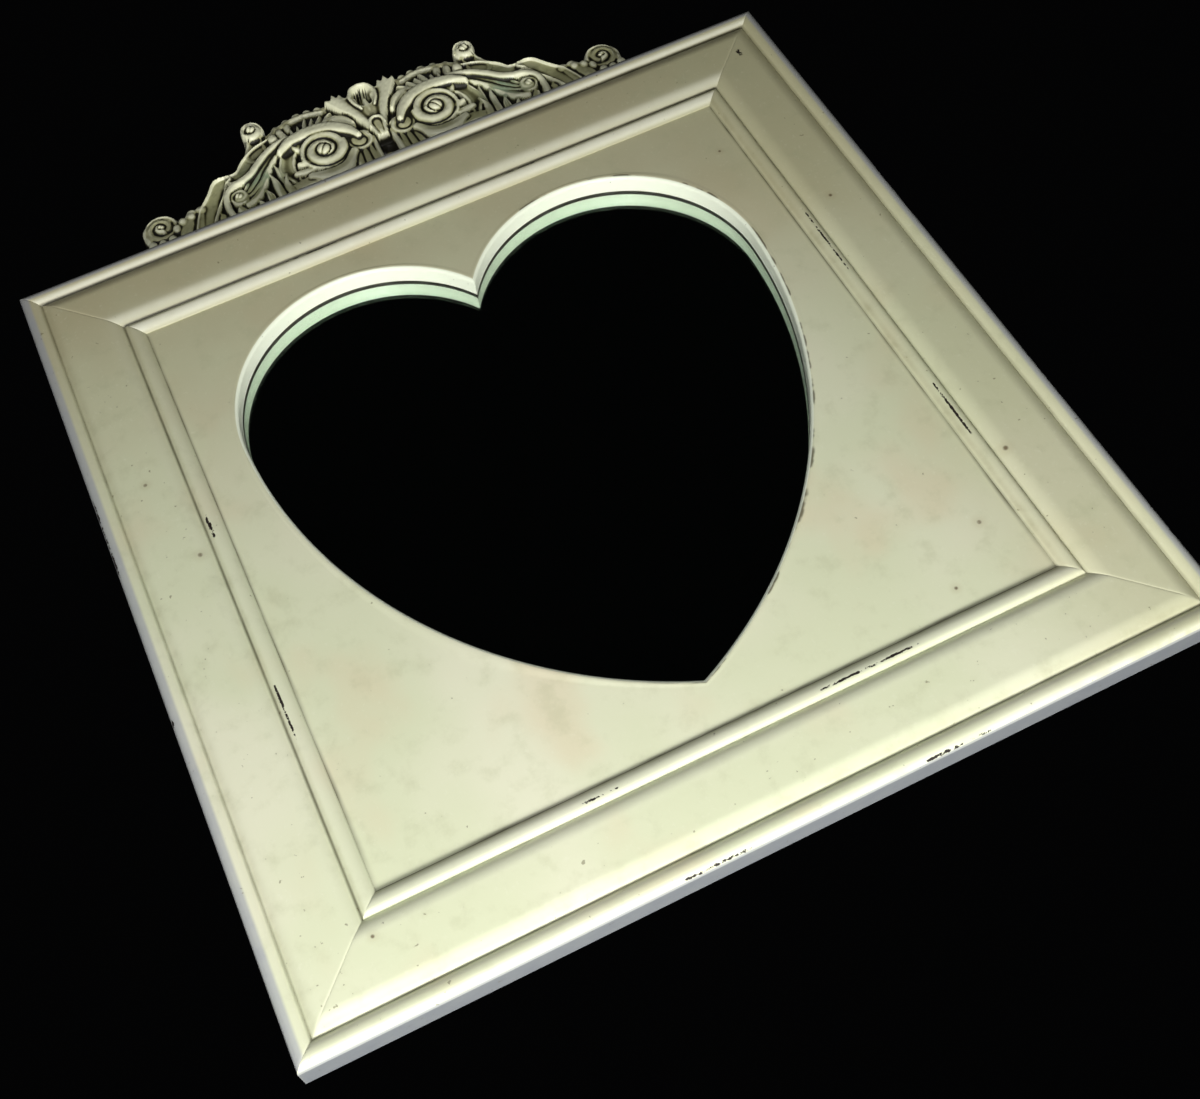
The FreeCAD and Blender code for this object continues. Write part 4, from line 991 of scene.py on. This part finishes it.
def hardboard():
    """Pressed fibre board: brown, flecked with short darker fibres."""
    board = Finish("hardboard", Specular_IOR_Level=0.3)
    fibres = board.noise(260.0, 6.0, 0.7, board.stretched(1, 1, 2.2), 1.2)
    cloud = board.noise(11.0, 4.0, 0.6)
    colour = board.mix(board.ramp(cloud, 0.3, 0.7), rgb(134, 92, 56), rgb(116, 78, 47))
    colour = board.mix(board.ramp(fibres, 0.45, 0.7) * 0.7, colour, rgb(82, 52, 30))
    board.set(Base_Color=colour, Roughness=0.62 + 0.2 * fibres)
    board.bump(fibres, 0.6, 0.0003)
    return board.material


def plated_steel(name, light, dark, roughness, grain_scale):
    """Plated steel: a crystalline mottle, fine brushing and dulled patches."""
    steel = Finish(name, Metallic=1.0)
    crystals = steel.node("ShaderNodeTexVoronoi", {}, {"Vector": steel.place, "Scale": grain_scale},
                          "Color")
    flake = steel.node("ShaderNodeSeparateColor", {}, (crystals,), 0)
    cloud = steel.noise(120.0, 4.0, 0.6)
    scratch = steel.noise(900.0, 3.0, 0.6, steel.stretched(1, 1, 0.06))
    share = 0.4 * flake + 0.6 * cloud
    steel.set(Base_Color=steel.mix(steel.ramp(share, 0.25, 0.75), light, dark),
              Roughness=roughness + 0.18 * cloud + 0.1 * scratch)
    steel.bump(0.4 * scratch + 0.6 * cloud, 0.25, 0.0001)
    return steel.material


def bumper_rubber():
    """Brown-black moulded rubber with a dusty bloom."""
    rubber = Finish("bumper rubber", Specular_IOR_Level=0.35)
    bloom = rubber.noise(240.0, 5.0, 0.65)
    rubber.set(Base_Color=rubber.mix(rubber.ramp(bloom, 0.4, 0.7), rgb(38, 33, 30), rgb(66, 58, 52)),
               Roughness=0.6 + 0.25 * bloom)
    rubber.bump(bloom, 0.4, 0.0002)
    return rubber.material


def give(material, *pieces):
    """Puts a material on pieces and carried-over nodes."""
    for piece in pieces:
        if not piece.material_slots:
            piece.data.materials.append(material)
        for slot in piece.material_slots:
            slot.material = material


# ---------------------------------------------------------------- the object

RAILS = {"top_rail": 0, "right_rail": 90, "bottom_rail": 180, "left_rail": 270}
cream = paint_cream()
for rail, turn in RAILS.items():
    piece = make_rail(rail, turn)
    give(cream, piece)
    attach(piece, "frame")
    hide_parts(rail)

panel = make_panel()
give(cream, panel)
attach(panel, "frame")
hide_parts("heart_panel")

crest = make_crest()
give(paint_crest(), crest)
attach(crest, "frame")
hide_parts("crest")

glass_front = edge_of("mirror_glass", 0, 1)
glass_back = edge_of("mirror_glass", 1, 1)
glass = make_plate("mirror_float_glass", "mirror_glass", glass_front, glass_back - 0.12)
silver = make_plate("mirror_silvering", "mirror_glass", glass_back - 0.1, glass_back)
give(clear_glass(), glass)
give(silvering(), silver)
for piece in (glass, silver):
    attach(piece, "frame")
    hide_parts("mirror_glass")

zinc = plated_steel("zinc plate", rgb(206, 208, 210), rgb(158, 162, 168), 0.28, 420.0)
wire = plated_steel("nickelled wire", rgb(214, 208, 196), rgb(170, 162, 148), 0.16, 900.0)
screw = plated_steel("yellow passivated screws", rgb(214, 190, 128), rgb(168, 142, 96), 0.26, 700.0)
rubber = bumper_rubber()
board = hardboard()
for name, node in NODES.items():
    if name.startswith(("turn_button_", "hanger_strap", "crest_plate_")) and "screws" not in name:
        give(zinc, node)
    elif name.startswith("hanger_ring"):
        give(wire, node)
    elif name.endswith("_screws") or name == "corner_v_nails":
        give(screw, node)
    elif name.startswith("bumper"):
        give(rubber, node)
    elif name == "backing_board":
        give(board, node)


# ---------------------------------------------------------------- floor, light and camera

# how far the floor lies below the object, and half its side, in metres
FLOOR_DROP = 1.2
FLOOR_HALF = 3.0

# name, place, aim, diameter, watts and colour of each lamp
LAMPS = [
    ("key", (-0.16, -0.46, -1.12), (0.0, 0.0, -0.12), 0.26, 13.2, (1.0, 1.0, 0.97)),
    ("near the camera", (-0.32, -0.86, -0.62), (0.0, 0.0, -0.16), 0.22, 4.2, (1.0, 1.0, 0.98)),
    ("fill left", (-1.3, -0.6, 0.0), (0.0, 0.0, -0.10), 0.9, 1.0, (0.86, 0.88, 1.0)),
    ("fill right", (1.3, -0.7, -0.4), (0.0, 0.0, -0.10), 0.9, 0.3, (0.95, 0.98, 1.0)),
    ("back light", (0.5, 1.2, 0.6), (0.0, 0.0, -0.10), 0.9, 9.0, (1.0, 1.0, 1.0)),
]


def make_floor():
    """A plain pale floor, well below the hanging mirror."""
    level = cad_box[0][2] - FLOOR_DROP
    reach = FLOOR_HALF
    corners = [(-reach, -reach, level), (reach, -reach, level), (reach, reach, level),
               (-reach, reach, level)]
    mesh = bpy.data.meshes.new("floor")
    mesh.from_pydata(corners, [], [(0, 1, 2, 3)])
    floor = add_object("floor", mesh)
    finish = Finish("pale floor", Roughness=0.7)
    cloud = finish.noise(3.0, 4.0, 0.5)
    finish.set(Base_Color=finish.mix(cloud, rgb(214, 212, 206), rgb(226, 224, 219)))
    give(finish.material, floor)


def make_lamp(name, place, aim, size, power, colour):
    """A round soft light at a place, turned to an aim."""
    light = bpy.data.lights.new(name, "AREA")
    light.shape = "DISK"
    light.size = size
    light.energy = power
    light.color = colour
    lamp = add_object(name, light)
    lamp.location = place
    lamp.rotation_euler = (Vector(aim) - Vector(place)).to_track_quat("-Z", "Y").to_euler()


def make_world():
    """A nearly dark room, so that the mirror stays black."""
    world = bpy.data.worlds.new("dark room")
    world.use_nodes = True
    world.node_tree.nodes["Background"].inputs["Color"].default_value = (0.5, 0.52, 0.55, 1)
    world.node_tree.nodes["Background"].inputs["Strength"].default_value = 0.002
    bpy.context.scene.world = world


def make_camera():
    """The camera looks from the eye to the aim, rolled about that line."""
    eye = Vector((-157.3, -762.1, -579.7)) * MM
    aim = Vector((-15.1, -28.0, -128.1)) * MM
    roll = math.radians(-29.5)
    forward = (aim - eye).normalized()
    level = forward.cross(Vector((0, 0, 1))).normalized()
    rise = level.cross(forward)
    right = level * math.cos(roll) + rise * math.sin(roll)
    up = right.cross(forward)
    data = bpy.data.cameras.new("camera")
    data.sensor_width = 36
    data.sensor_fit = "HORIZONTAL"
    data.lens = 47.84
    data.shift_x = 0.0333
    data.shift_y = -0.0579
    data.clip_start = 0.02
    camera = add_object("camera", data)
    turn = Matrix((right, up, -forward)).transposed().to_4x4()
    camera.matrix_world = Matrix.Translation(eye) @ turn
    bpy.context.scene.camera = camera


make_floor()
make_world()
for lamp in LAMPS:
    make_lamp(*lamp)
make_camera()
bpy.context.scene.view_settings.view_transform = "Standard"
